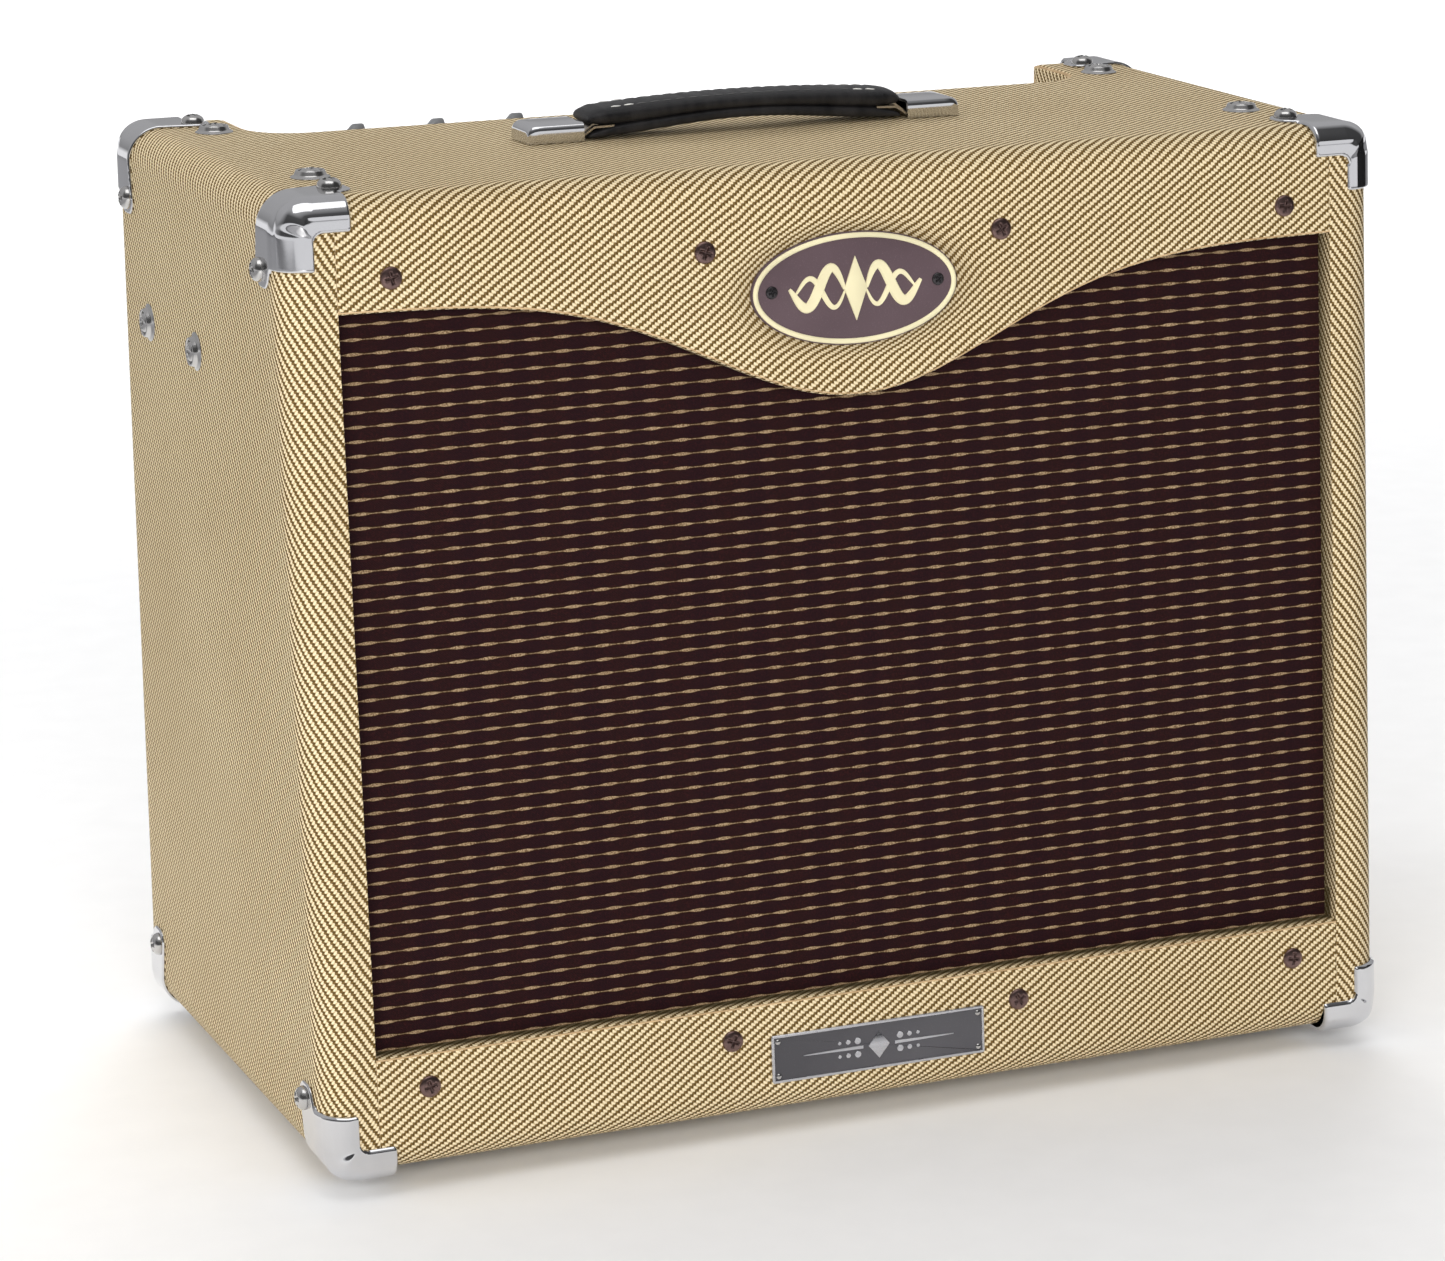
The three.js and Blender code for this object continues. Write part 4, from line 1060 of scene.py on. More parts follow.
def side_cover(hand):
    """A side's covering: over the top and bottom edges to the seams, and round the stiles."""
    side, rounding = SIDE + CLOTH, EDGE + CLOTH
    top_path = fillet(
        [(SEAM, TOP + CLOTH), (side, TOP + CLOTH), (side, MID_HEIGHT)], [0, rounding, 0], 8, 0.6,
    )[:-1]
    low_path = fillet(
        [(side, MID_HEIGHT), (side, BASE - CLOTH), (SEAM, BASE - CLOTH)], [0, rounding, 0], 8, 0.6,
    )[1:]
    body_z = np.linspace(top_path[-1][1], low_path[0][1], 26)[1:-1]
    path = np.concatenate([top_path, [(side, z) for z in body_z], low_path])
    along = arc_lengths(path)
    inner = SEAM + 0.03
    front = fillet(
        [(inner, RAIL_DEPTH), (inner, -CLOTH), (side, -CLOTH), (side, 90)], [0, 0.6, rounding, 0], 8, 0.6,
    )[:-1]
    rear = fillet(
        [(side, -90), (side, CLOTH), (inner, CLOTH), (inner, -14)], [0, rounding, 1.0, 0], 8, 0.6,
    )[1:]
    front_arc, rear_arc = arc_lengths(front), arc_lengths(rear)
    flat = np.linspace(0, 1, 18)[1:-1]
    verts, coords = [], []
    for (px, pz), s in zip(path, along):
        z_row = min(max(pz, BASE + EDGE), TOP - EDGE)
        lean_y = front_y(z_row)
        u = -(SEAM + s)
        start, end = lean_y + front[-1][1], REAR + rear[0][1]
        for (x, d), a in zip(front, front_arc):
            verts.append((x, lean_y + d, pz))
            coords.append((u, start - (front_arc[-1] - a)))
        for t in flat:
            verts.append((px, start + (end - start) * t, pz))
            coords.append((u, start + (end - start) * t))
        for (x, d), a in zip(rear, rear_arc):
            verts.append((x, REAR + d, pz))
            coords.append((u, end + a))
    width = len(front) + len(flat) + len(rear)
    body_rows = range(len(top_path) - 3, len(path) - len(low_path) + 2)  # clear of the protectors
    faces = []
    for i, face in enumerate(grid_faces(len(path), width)):
        r, c = divmod(i, width - 1)
        wrapped = c < len(front) - 1 or c >= width - len(rear)
        if r in body_rows or not wrapped:
            faces.append(face)
    verts = np.array(verts)
    for i, (px, _) in enumerate(path):
        if px < side - 1e-6:  # over the top and the underside
            for c in (len(front) - 1, width - len(rear)):
                verts[i * width + c][0] = px
    verts[:, 0] *= hand
    coords = np.array(coords)
    coords[:, 0] *= -hand
    obj = build(
        "tweed_left" if hand < 0 else "tweed_right", verts, faces, TWEED, slot="tweed", uv=coords,
        closed=False,
    )
    with editing(obj.data) as bm:
        loose = [v for v in bm.verts if not v.link_faces]
        bmesh.ops.delete(bm, geom=loose, context="VERTS")
    face_out(obj)


def rear_cover():
    low, high = span("lower_rear_panel")
    c = middle("lower_rear_panel")
    loop = rounded_rectangle(high[0] - low[0] - 0.1, high[2] - low[2] - 0.1, 2.0)
    verts, faces = slab_mesh(loop, -6.3, 6.35, 2.0, 4)
    uv = [(x, z) for x, z, _ in verts]
    place = axes((1, 0, 0), (0, 0, 1), (0, -1, 0), c)
    crisp(
        build(
            "tweed_rear_panel", verts, faces, TWEED, slot="tweed", uv=uv, place=place, closed=False,
            replaces=["lower_rear_panel"],
        ),
        60,
    )


top_strip()
bottom_strip()
top_cover()
side_cover(-1)
side_cover(1)
rear_cover()

# ---------------------------------------------------------------- corner protectors

SHEET = 1.75  # how far a protector stands off the boards
RIDGE = 0.35  # height of the raised roll along the front edges
ROLL_RADIUS = (9.6, 15.0)  # of the roll along the top edge and down the side edge
ROLL_LIP = (11.4, 7.4)  # arc distance from the side and from the top where the front lip starts
ROLL_TAB = 7.4  # arc distance from the front where the tabs start
TAB_SCREW = (29.5, 26.0)


def inside_distance(points, corners, radii):
    """Signed distance of 2D points to a rounded outline, positive inside."""
    ring = [corners[-1]] + list(corners) + [corners[0], corners[1]]
    line = fillet(ring, [0] + list(radii) + [radii[0], 0], 6)[1:-1]
    a, b = line[:-1], line[1:]
    best = np.full(len(points), 1e9)
    inside = np.zeros(len(points), bool)
    for p, q in zip(a, b):
        d = q - p
        size = d @ d
        if size < 1e-12:
            continue
        t = np.clip(((points - p) @ d) / size, 0, 1)
        best = np.minimum(best, np.linalg.norm(points - p - t[:, None] * d, axis=1))
        crosses = (p[1] > points[:, 1]) != (q[1] > points[:, 1])
        with np.errstate(divide="ignore", invalid="ignore"):
            x = p[0] + (points[:, 1] - p[1]) * d[0] / d[1]
        inside ^= crosses & (points[:, 0] < x)
    return np.where(inside, best, -best)


FAR = -20.0
LIP = (
    [(FAR, FAR), (29.5, FAR), (29.5, 12.6), (13.7, 12.6), (13.7, 28.0), (FAR, 28.0)],
    [0, 0, 1.2, 4.0, 1.2, 0],
)


def tab(start):
    return (
        [(FAR, FAR), (start, FAR), (start, 13.0), (37.0, 18.5), (37.0, 33.5), (12.0, 29.0), (FAR, 29.0)],
        [0, 0, 3.0, 6.5, 6.4, 12.0, 0],
    )


def protector_patch(outline, radius, step=0.6):
    """One face of the corner in (a, b) arc-length coordinates, cut to its outline."""
    start = EDGE - radius * math.pi / 4
    count = int((40 - start) / step) + 1
    line = start + np.arange(count + 1) * step
    a, b = np.meshgrid(line, line, indexing="ij")
    flat = np.stack([a.ravel(), b.ravel()], 1)
    d = inside_distance(flat, *outline)
    e = 0.05
    gradient = np.stack([
        (inside_distance(flat + way, *outline) - inside_distance(flat - way, *outline)) / (2 * e)
        for way in ([e, 0], [0, e])
    ], 1)
    near = np.abs(d) < step * 0.42  # these points are moved onto the outline
    moved = flat - np.where(near, d, 0)[:, None] * gradient
    for axis in (0, 1):
        moved[np.abs(flat[:, axis] - start) < 1e-6, axis] = start
    d = np.where(near, 0.0, d)
    points, dist = list(map(tuple, moved)), list(d)
    cuts, faces = {}, []

    def cut(i, j):
        key = (min(i, j), max(i, j))
        if key not in cuts:
            t = dist[i] / (dist[i] - dist[j])
            points.append(tuple(np.array(points[i]) + t * (np.array(points[j]) - np.array(points[i]))))
            dist.append(0.0)
            cuts[key] = len(points) - 1
        return cuts[key]

    for face in grid_faces(count + 1, count + 1):
        if all(dist[i] >= 0 for i in face):
            if any(dist[i] > 0 for i in face):
                faces.append(list(face))
            continue
        if all(dist[i] <= 0 for i in face):
            continue
        ring = []
        for k in range(4):
            i, j = face[k], face[(k + 1) % 4]
            if dist[i] >= 0:
                ring.append(i)
            if dist[i] * dist[j] < 0:
                ring.append(cut(i, j))
        if len(ring) > 2:
            faces.append(ring)
    return np.array(points), np.array(dist), faces


def roll(x, y, z):
    """How much further out than a plain rounding the sheet stands, by direction from its centre."""
    flat = EDGE + SHEET
    across = np.hypot(x, z)
    length = np.hypot(across, y)
    s, c = across / length, y / length
    radius = ROLL_RADIUS[0] + (ROLL_RADIUS[1] - ROLL_RADIUS[0]) * smoothstep(np.arctan2(x, z), 0.6, 1.4)
    inner = flat - radius
    square = np.maximum(radius ** 2 - inner ** 2 * (1 - 2 * s * c), 0)
    turn = inner * (c + s) + np.sqrt(square)
    limit = np.arctan2(inner, flat)
    angle = np.arctan2(s, c)
    flats = flat / np.maximum(np.maximum(s, c), 1e-6)
    return np.where((angle < limit) | (angle > math.pi / 2 - limit), flats, turn) / flat


def protector_surface(chart, a, b, offset, rolled):
    """Local (along a, out, along b) of a patch point: out is measured into the cabinet."""
    radius = EDGE + offset
    arc = EDGE + SHEET
    ta = np.tan(np.clip((EDGE - a) / arc, 0, math.pi / 4))
    tb = np.tan(np.clip((EDGE - b) / arc, 0, math.pi / 4))
    size = np.sqrt(1 + ta * ta + tb * tb)
    if rolled:
        way = {
            "front": (ta, np.ones_like(ta), tb), "top": (ta, tb, np.ones_like(ta)),
            "side": (np.ones_like(ta), tb, ta),
        }[chart]
        radius = radius * roll(*way)
    return (
        np.maximum(a, EDGE) - radius * ta / size,
        EDGE - radius / size,
        np.maximum(b, EDGE) - radius * tb / size,
    )


def protector_mesh():
    verts, faces = [], []
    total = 0
    for chart, outline in (("front", LIP), ("top", tab(29.5)), ("side", tab(28.0))):
        flat, dist, polys = protector_patch(outline, EDGE + SHEET)
        used = sorted({i for f in polys for i in f})
        index = {i: k for k, i in enumerate(used)}
        flat, dist = flat[used], dist[used]
        edge = np.clip(dist / 0.9, 0, 1)
        raised = np.sqrt(1 - (1 - edge) ** 2)
        if chart == "front":
            inward = np.maximum(ROLL_LIP[0] - flat[:, 0], ROLL_LIP[1] - flat[:, 1])
        else:
            inward = ROLL_TAB - flat[:, 1]
        swell = RIDGE * smoothstep(inward, 0, 1.8)
        height = CLOTH + (SHEET - CLOTH) * raised + swell * smoothstep(dist, 0, 1.0)
        for offset, flip in ((height, False), (np.full(len(flat), CLOTH), True)):
            p, out, q = protector_surface(chart, flat[:, 0], flat[:, 1], offset, not flip)
            verts.append(np.stack({"front": (p, out, q), "top": (p, q, out), "side": (out, q, p)}[chart], 1))
            for f in polys:
                ring = [index[i] + total for i in f]
                faces.append(ring[::-1] if flip else ring)
            total += len(flat)
    return np.concatenate(verts), faces


def corner_place(hand, front, high, uvw):
    u, v, w = uvw[..., 0], uvw[..., 1], uvw[..., 2]
    z = TOP - w if high else BASE + w
    y = FRONT_BOTTOM + (z - BASE) * math.tan(LEAN) + v if front else REAR - v
    return np.stack([hand * (SIDE - u), y, z], -1)


def protectors():
    local, faces = protector_mesh()
    head = cross_head(5.2, 3.9)
    for end in ("front", "rear"):
        for level in ("top", "bottom"):
            for side, hand in (("left", -1), ("right", 1)):
                front, high = end == "front", level == "top"
                world = corner_place(hand, front, high, local)
                name = f"{end}_{level}_{side}"
                build("protector_" + name, world, faces, CHROME, slot="chrome", replaces=["corner_" + name])
                up = 1 if high else -1
                flat = corner_place(hand, front, high, np.array([TAB_SCREW[0], TAB_SCREW[1], -SHEET]))
                beside = corner_place(hand, front, high, np.array([-SHEET, TAB_SCREW[1], TAB_SCREW[0]]))
                spots = [
                    axes((1, 0, 0), (0, up, 0), (0, 0, up), flat) @ spin(0.5),
                    axes((0, hand, 0), (0, 0, 1), (hand, 0, 0), beside) @ spin(0.2),
                ]
                several("protector_screws_" + name, head, spots, NICKEL, slot="chrome")


protectors()

# ---------------------------------------------------------------- screws on the shell


RAIL_SCREW_X = (-203.8, -67.6, 67.6, 203.8)
RAIL_SCREW_HIGH = (373.1, 36.2)  # above the cabinet's underside
REAR_SCREW_X = (-200.0, -70.0, 70.0, 200.0)
SUNK = 0.1  # how far a screw or washer is pressed into the cloth


def shell_screws():
    head = cross_head(4.7, 1.9, 0.5, 0.6)
    spots = [
        on_front(x, z + BASE, CLOTH - SUNK) @ spin(0.3 + 0.9 * k)
        for z in RAIL_SCREW_HIGH
        for k, x in enumerate(RAIL_SCREW_X)
    ]
    several("rail_screws", head, spots, BRONZE, slot="plate")

    cup = fillet(
        [(8.4, 0), (8.4, 0.4), (6.9, 1.3), (6.1, 3.2), (5.2, 3.3), (4.9, 1.6), (3.6, 1.2), (3.6, 0)],
        [0, 0.2, 1.2, 0.5, 0.5, 0.3, 0, 0], 4,
    )
    cup_mesh = lathe(list(cup) + [cup[0]], 40)
    oval_head = placed(cross_head(4.5, 2.5, 0.3, 0.55), Matrix.Translation((0, 0, 1.7)))
    spots = [
        Matrix.Translation((s * 216.5, y, TOP + CLOTH - SUNK))
        for s in (-1, 1)
        for y in (-51.0, 89.0)
    ]
    spots += [
        axes((0, s, 0), (0, 0, 1), (s, 0, 0), (s * (SIDE + CLOTH - SUNK), y, 333.0))
        for s in (-1, 1)
        for y in (15.0, 88.0)
    ]
    several("cup_washers", cup_mesh, spots, NICKEL, 40, slot="chrome")
    several("cup_screws", oval_head, spots, NICKEL, turn=0.35, slot="chrome")

    spots = [on_rear(x, 38.0, REAR + 0.3) for x in REAR_SCREW_X]
    spots += [on_rear(x, 139.0, REAR + 0.3) for x in (REAR_SCREW_X[0], REAR_SCREW_X[-1])]
    several("rear_panel_screws", head, spots, BRONZE, turn=0.7, slot="plate")


shell_screws()

# ---------------------------------------------------------------- badge and plate


def sweep_ring(loop, profile):
    """A closed section of (inset, height) points carried round a closed loop."""
    rings = [lifted(offset_loop(loop, inset), h) for inset, h in profile]
    verts = np.array(rings).reshape(-1, 3)
    return verts, grid_faces(len(rings), len(loop), wrap_rows=True, wrap_columns=True)


def ribbon(points, widths, low, high):
    """A flat band of changing width along a 2D path, as a thin raised solid."""
    points = np.asarray(points, float)
    normal = across(unit(np.gradient(points, axis=0)))
    verts = []
    for p, n, half in zip(points, normal, np.asarray(widths, float) / 2):
        for side, h in ((1, low), (0.8, high), (-0.8, high), (-1, low)):
            verts.append((*(p + n * half * side), h))
    return four_sided(verts)


def badge():
    place = on_front(*BADGE_AT, CLOTH)
    outer = oval(*BADGE_HALF)
    rim = [(0.45, 2.2), (0.5, 2.75), (0.9, 3.1), (1.6, 3.2), (2.3, 3.1), (2.65, 2.75), (2.7, 2.2)]
    v, f = sweep_ring(outer, rim)
    crisp(build("badge_rim", v, f, CREAM, place=place, slot="badge", replaces=["oval_badge"]), 60)
    # the field's slab reaches the badge's outer edge, so its dark wall under the cream rim is painted shade
    # for the gap round the badge
    slab("badge_field", outer, 0.0, 2.5, BADGE_FIELD, place, 0.35, slot="badge")
    ornament = []
    for side in (-1, 1):
        t = np.linspace(0, 1, 40)
        x = side * (5.0 + 25.0 * t)
        y = 10.5 * np.sin(t * 2.1 * math.pi) * (1 - 0.5 * t)
        taper = np.sin(math.pi * (0.04 + 0.92 * t)) ** 0.6
        ornament.append(ribbon(np.stack([x, y], 1), 5.0 * taper, 2.4, 3.1))
        ornament.append(ribbon(np.stack([x * 0.92, -y * 0.8], 1), 2.6 * taper, 2.4, 2.9))
    diamond = [(0, 13.5), (-5.2, 0), (0, -13.5), (5.2, 0)]
    ornament.append(slab_mesh(diamond, 2.4, 3.3, 0.3, 2, under=False))
    assembly("badge_ornament", ornament, CREAM, 40, place=place, slot="badge")
    head = cross_head(2.7, 1.3, 0.3, 0.62)
    ends = [Matrix.Translation((x, 0.9, 2.4)) @ spin(a) for x, a in ((-38, 0.2), (38, 0.6))]
    several("badge_screws", head, ends, BLACK_SCREW, place=place, slot="badge")


def plate():
    place = on_front(0, PLATE_Z, CLOTH)
    outer = rounded_rectangle(100.4, 21.2, 1.0)
    v, f = sweep_ring(outer, [(0.0, 0.0), (0.0, 1.1), (0.3, 1.4), (1.1, 1.4), (1.3, 1.1), (1.3, 0.0)])
    crisp(build("plate_rim", v, f, PLATE_RIM, place=place, slot="plate", replaces=["name_plate"]), 40)
    slab("plate_field", offset_loop(outer, 1.2), 0.0, 0.95, PLATE_FIELD, place, 0.1, slot="plate")
    marks = []
    for side in (-1, 1):
        t = np.linspace(0, 1, 24)
        path = np.stack([side * (7.5 + 28 * t), 0.0 * t], 1)
        marks.append(ribbon(path, 1.5 * (1 - t) ** 0.7 + 0.25, 0.9, 1.25))
        for k, r in ((10.0, 1.5), (14.5, 1.1), (18.5, 0.8)):
            for y in (3.0, -3.0):
                dot = [(side * k + px, y + py) for px, py in oval(r, r, 20)]
                marks.append(slab_mesh(dot, 0.9, 1.25, 0.1, 1, under=False))
    marks.append(slab_mesh([(0, 6.0), (-5.0, 0), (0, -6.0), (5.0, 0)], 0.9, 1.3, 0.15, 2, under=False))
    assembly("plate_ornament", marks, PLATE_RIM, 40, place=place, slot="plate")
    pin = lathe([(0, 1.9), (0.7, 1.8), (1.25, 1.4), (1.4, 0.9), (1.4, 0.5), (0, 0.5)], 20)
    corners = [Matrix.Translation((sx * 47.2, sy * 7.6, 0)) for sx in (-1, 1) for sy in (-1, 1)]
    several("plate_pins", pin, corners, NICKEL, place=place, slot="plate")


badge()
plate()

# ---------------------------------------------------------------- carrying handle

HANDLE_AT = (-4.3, 1.5, TOP)
STRAP_HALF = 75.0
STRAP_END, STRAP_ROUND = 73.5, 8.0  # where the leather ends, and the length that rounds off there
WIDTH_HALF = 12.3


def strap_lines(x):
    """Underside, crease and top of the strap at x, above the cabinet."""
    t = np.abs(x) / STRAP_HALF
    under = 1.3 + 4.4 * np.cos(math.pi / 2 * np.clip(t, 0, 1)) ** 2
    crease = 5.9 + 4.5 * np.cos(math.pi / 2 * np.clip(t, 0, 1)) ** 1.5
    top = 16.7 - 3.2 * t ** 2
    return under, crease, top


def loft(xs, section, sides=36):
    """Sections of (half width, low, high, squareness, y scale) along x, closed by caps."""
    verts = []
    for x in xs:
        half, low, high, power = section(x)
        for k in range(sides):
            a = 2 * math.pi * k / sides
            c, s = math.cos(a), math.sin(a)
            y = half * math.copysign(abs(c) ** (2 / power), c)
            z = (low + high) / 2 + (high - low) / 2 * math.copysign(abs(s) ** (2 / power), s)
            verts.append((x, y, z))
    return np.array(verts), capped(len(xs), sides)


def end_ease(x):
    """0 at the leather's end, rising round to 1."""
    return math.sqrt(max(0.0, 1 - max(0.0, (abs(x) - (STRAP_END - STRAP_ROUND)) / STRAP_ROUND) ** 2))


def handle():
    place = Matrix.Translation(HANDLE_AT)

    def pad(x):
        _, crease, top = strap_lines(x)
        e = end_ease(x)
        mid = (crease + top) / 2 - 0.6 * (1 - e)
        tall = (top - crease) / 2 * (0.28 + 0.72 * e)
        wrinkle = 0.12 * math.sin(x * 1.1) * smoothstep(abs(x), 50, 66)
        sink = 1.1 * smoothstep(-abs(x), -70, -58)
        return WIDTH_HALF * (0.72 + 0.28 * e) + wrinkle, mid - tall - sink, mid + tall + wrinkle, 2.7

    def under(x):
        low, crease, _ = strap_lines(x)
        e = end_ease(x)
        high = crease + 0.6 - 1.6 * smoothstep(abs(x), 58, 70)
        return WIDTH_HALF * (0.8 + 0.16 * e), low, low + (high - low) * (0.3 + 0.7 * e), 3.6

    ends = STRAP_END - STRAP_ROUND * (1 - np.cos(np.linspace(0, math.pi / 2, 9)))
    xs = np.concatenate([-ends, np.linspace(-64, 64, 65), ends[::-1]])
    v, f = loft(xs, pad)
    build("strap_pad", v, f, LEATHER, "handle", "strap", place=place, replaces=["handle_strap"])
    xs = np.concatenate([-ends, np.linspace(-64, 64, 49), ends[::-1]])
    v, f = loft(xs, under)
    build("strap_under", v, f, LEATHER, "handle", "strap", place=place)

    stitches, highlit_stitches = [], []
    for row in (-1, 1):
        for k, x in enumerate(np.arange(-60, 61, 6.0)):
            # the first and last two stitches of each row are pale and thicker: painted highlight where the
            # pad's ends catch the light
            highlit_stitch = k in (0, 1, 19, 20)
            xs = np.linspace(x - 2.3, x + 2.3, 6)
            level = []
            for s in xs:
                half, low, high, power = pad(s)
                y = row * 7.6
                rise = (1 - (abs(y) / half) ** power) ** (1 / power)
                level.append((s, y, (low + high) / 2 + (high - low) / 2 * rise))
            thick = 0.42 if highlit_stitch else 0.24
            (highlit_stitches if highlit_stitch else stitches).append(
                tube_mesh(level, np.array([0.3, 0.85, 1, 1, 0.85, 0.3]) * thick, 6)
            )
    build("strap_stitches", *merged(stitches), DARK_THREAD, "handle", "strap", place=place)
    build("strap_end_stitches", *merged(highlit_stitches), HIGHLIT_THREAD, "handle", "strap", place=place)

    bands = []
    for side in (-1, 1):
        for lift, reach, half in ((0.0, 97.0, 10.5), (1.3, 79.0, 9.0)):
            line = fillet(
                [
                    (62, 6.3 + lift), (71.0, 6.1 + lift), (77.6 - lift, 1.9 + lift * 1.2),
                    (reach - lift, 1.9 + lift * 1.2),
                ],
                [0, 2.0, 2.0, 0], 5,
            )
            bands.append(bar([(side * x, z) for x, z in line], half, 0.45, 0.45))
    assembly("strap_band", bands, STEEL, 40, body="handle", slot="strap", place=place)


CAP_START = 76.3  # x of a cap's open end, from the handle's middle
STRAIGHT = 0.80  # the share of a cap's length before it rounds off


def handle_cap(side):
    """A pressed cap: an outer and an inner shell joined round the open end."""
    name = "left" if side < 0 else "right"
    length, half, high = 25.5, 12.0, 8.4
    sides = 12

    def arch(w, h, corner, low):
        right = fillet([(w, low), (w, h), (0, h)], [0, corner, 0], sides // 2)
        return np.concatenate([right, [(-y, z) for y, z in right[-2::-1]]])

    rings = []
    for k in range(0, 9):
        x = length * k / 8 * STRAIGHT
        rings.append([(x, y, z) for y, z in arch(half, high, 2.6, 0.3)])
    for k in range(1, 9):
        a = math.pi / 2 * k / 8
        x = length * (STRAIGHT + (1 - STRAIGHT) * math.sin(a))
        drop = 1 - math.cos(a)
        rings.append([(x, y, z) for y, z in arch(half - 2.2 * drop, high - 3.4 * drop, 2.6, 0.3)])
    n = len(rings[0])
    verts = [p for ring in rings for p in ring]
    faces = grid_faces(len(rings), n)
    faces.append(list(range((len(rings) - 1) * n, len(rings) * n)))
    start = len(verts)
    inner = [
        [(x, y, z) for y, z in arch(half - 1.3, high - 1.2, 1.6, 0.3)]
        for x in (0, length * 0.5, length * 0.86)
    ]
    verts += [p for ring in inner for p in ring]
    faces += [[i + start for i in f] for f in grid_faces(3, n)]
    faces.append([start + 2 * n + i for i in range(n)])
    for i in range(n - 1):
        faces.append((i, i + 1, start + i + 1, start + i))
    outer_low = [r * n for r in range(len(rings))]
    outer_high = [r * n + n - 1 for r in range(len(rings))]
    inner_low = [start + r * n for r in range(3)]
    inner_high = [start + r * n + n - 1 for r in range(3)]
    faces.append(outer_low + inner_low[::-1])
    faces.append(outer_high[::-1] + inner_high)
    faces.append([outer_low[-1], outer_high[-1], inner_high[-1], inner_low[-1]])
    points = np.array(verts)
    points[:, 0] = side * (CAP_START + points[:, 0])
    crisp(
        build(
            f"cap_{name}", points, faces, CHROME, slot="chrome",
            place=Matrix.Translation((HANDLE_AT[0], HANDLE_AT[1], TOP + CLOTH)),
            replaces=[f"handle_cap_{name}"],
        ),
        45,
    )


handle()
handle_cap(-1)
handle_cap(1)

# ---------------------------------------------------------------- controls


def knob_mesh():
    """The body of a pointer knob, its nose towards -x."""
    stations = [
        (-17.2, 0.5, 6.6), (-17.0, 0.9, 6.9), (-16.0, 1.3, 7.6), (-12, 1.9, 9.9), (-8, 2.7, 12.2),
        (-5, 3.4, 13.9), (-3, 3.7, 15.0), (-1, 3.85, 16.2), (1.0, 3.9, 17.6), (2.8, 3.9, 19.2),
        (4.3, 3.9, 20.7), (5.0, 3.9, 21.0),
        (8.7, 3.7, 21.0), (9.4, 3.2, 20.7), (9.9, 2.6, 19.2), (10.3, 1.9, 17.2), (10.4, 1.2, 15.0),
    ]
    sides = 18
    verts = []
    for x, half, high in stations:
        for k in range(sides + 1):
            a = math.pi * k / sides
            c, s = math.cos(a), math.sin(a)
            verts.append((x, half * math.copysign(abs(c) ** 0.7, c), 2.0 + (high - 2.0) * abs(s) ** 0.28))
    return np.array(verts), capped(len(stations), sides + 1)


def skirt_mesh():
    corners = [(0, 0.6), (KNOB_RADIUS, 0.6), (KNOB_RADIUS, 1.8), (10.0, 5.4), (0, 5.4)]
    return lathe(fillet(corners, [0, 0.3, 0.6, 1.0, 0], 4), 56)


def knobs():
    body, skirt = knob_mesh(), skirt_mesh()
    mark = bar([(-16.8, 7.25), (-15.5, 7.95), (-8.0, 12.25), (-5.0, 13.95)], 0.45, 0.3, 0.22)
    shaft = lathe([(0, -6), (3, -6), (3, 1), (0, 1)], 24)
    for name, x in KNOB_X.items():
        place = on_panel(x)
        assembly(
            f"pointer_{name}", [body, skirt], KNOB_GREY, 50, body=f"knob_{name}", slot="knob_plastic",
            place=place, replaces=[f"knob_{name}"],
        )
        crisp(build(f"pointer_line_{name}", *mark, CREAM, f"knob_{name}", "knob_plastic", place=place), 50)
        crisp(build(f"pointer_shaft_{name}", *shaft, NICKEL, f"knob_{name}", "knob_plastic", place=place), 50)


def nut_mesh(across, height, bore):
    """A hexagon nut with rounded corners and a bore."""
    n = 48
    outer, inner = [], []
    for k in range(n):
        a = 2 * math.pi * k / n
        b = (a + math.pi / 6) % (math.pi / 3) - math.pi / 6
        r = min(across / 2 / math.cos(b), across / 2 * 1.12)
        outer.append((r * math.cos(a), r * math.sin(a)))
        inner.append((bore * math.cos(a), bore * math.sin(a)))
    verts = []
    for loop, h in (
        (inner, 0), (outer, 0), (outer, height - 0.4), (offset_loop(outer, 0.4), height), (inner, height),
    ):
        verts += lifted(loop, h)
    return np.array(verts), grid_faces(5, n, wrap_rows=True, wrap_columns=True)


def washer_mesh(outer, bore, height):
    return lathe(
        [(bore, 0), (outer, 0), (outer, height * 0.6), (outer - 0.3, height), (bore, height), (bore, 0)], 40,
    )


DIAL_START, DIAL_SWEEP = 120, 300  # degrees
NUMBER_SIZE, NUMBER_RADIUS = 2.3, 16.9


def dial_marks():
    """Scale lines and numbers round each knob."""
    marks = []
    for x in KNOB_X.values():
        for k in range(13):
            a = math.radians(DIAL_START + DIAL_SWEEP * k / 12)
            inner, outer = 12.6, 15.0 if k % 2 == 0 else 14.0
            d = np.array([math.cos(a), -math.sin(a)])
            line = ribbon([d * inner, d * (inner + outer) / 2, d * outer], [0.5, 0.5, 0.5], 0.0, 0.06)
            marks.append(placed(line, on_panel(x, CONTROL_ROW, 0.01)))
    v, f = merged(marks)
    build("scale_lines", v, f, PRINT, slot="chrome", smooth=False)
    for name, x in KNOB_X.items():
        for k in range(1, 13):
            a = math.radians(DIAL_START + DIAL_SWEEP * (k - 1) / 11)
            data = bpy.data.curves.new(f"number_{name}_{k}", "FONT")
            data.body = str(k)
            data.size = NUMBER_SIZE * MM
            data.align_x, data.align_y = "CENTER", "CENTER"
            data.extrude = 0.03 * MM
            data.materials.append(PRINT)
            obj = linked(f"number_{name}_{k}", data)
            spot = on_panel(x, CONTROL_ROW, 0.05) @ Matrix.Translation(
                (NUMBER_RADIUS * math.cos(a), -NUMBER_RADIUS * math.sin(a), 0)
            ) @ spin(math.pi)
            spot.translation *= MM
            obj.matrix_world = spot
            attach(obj, "cabinet")


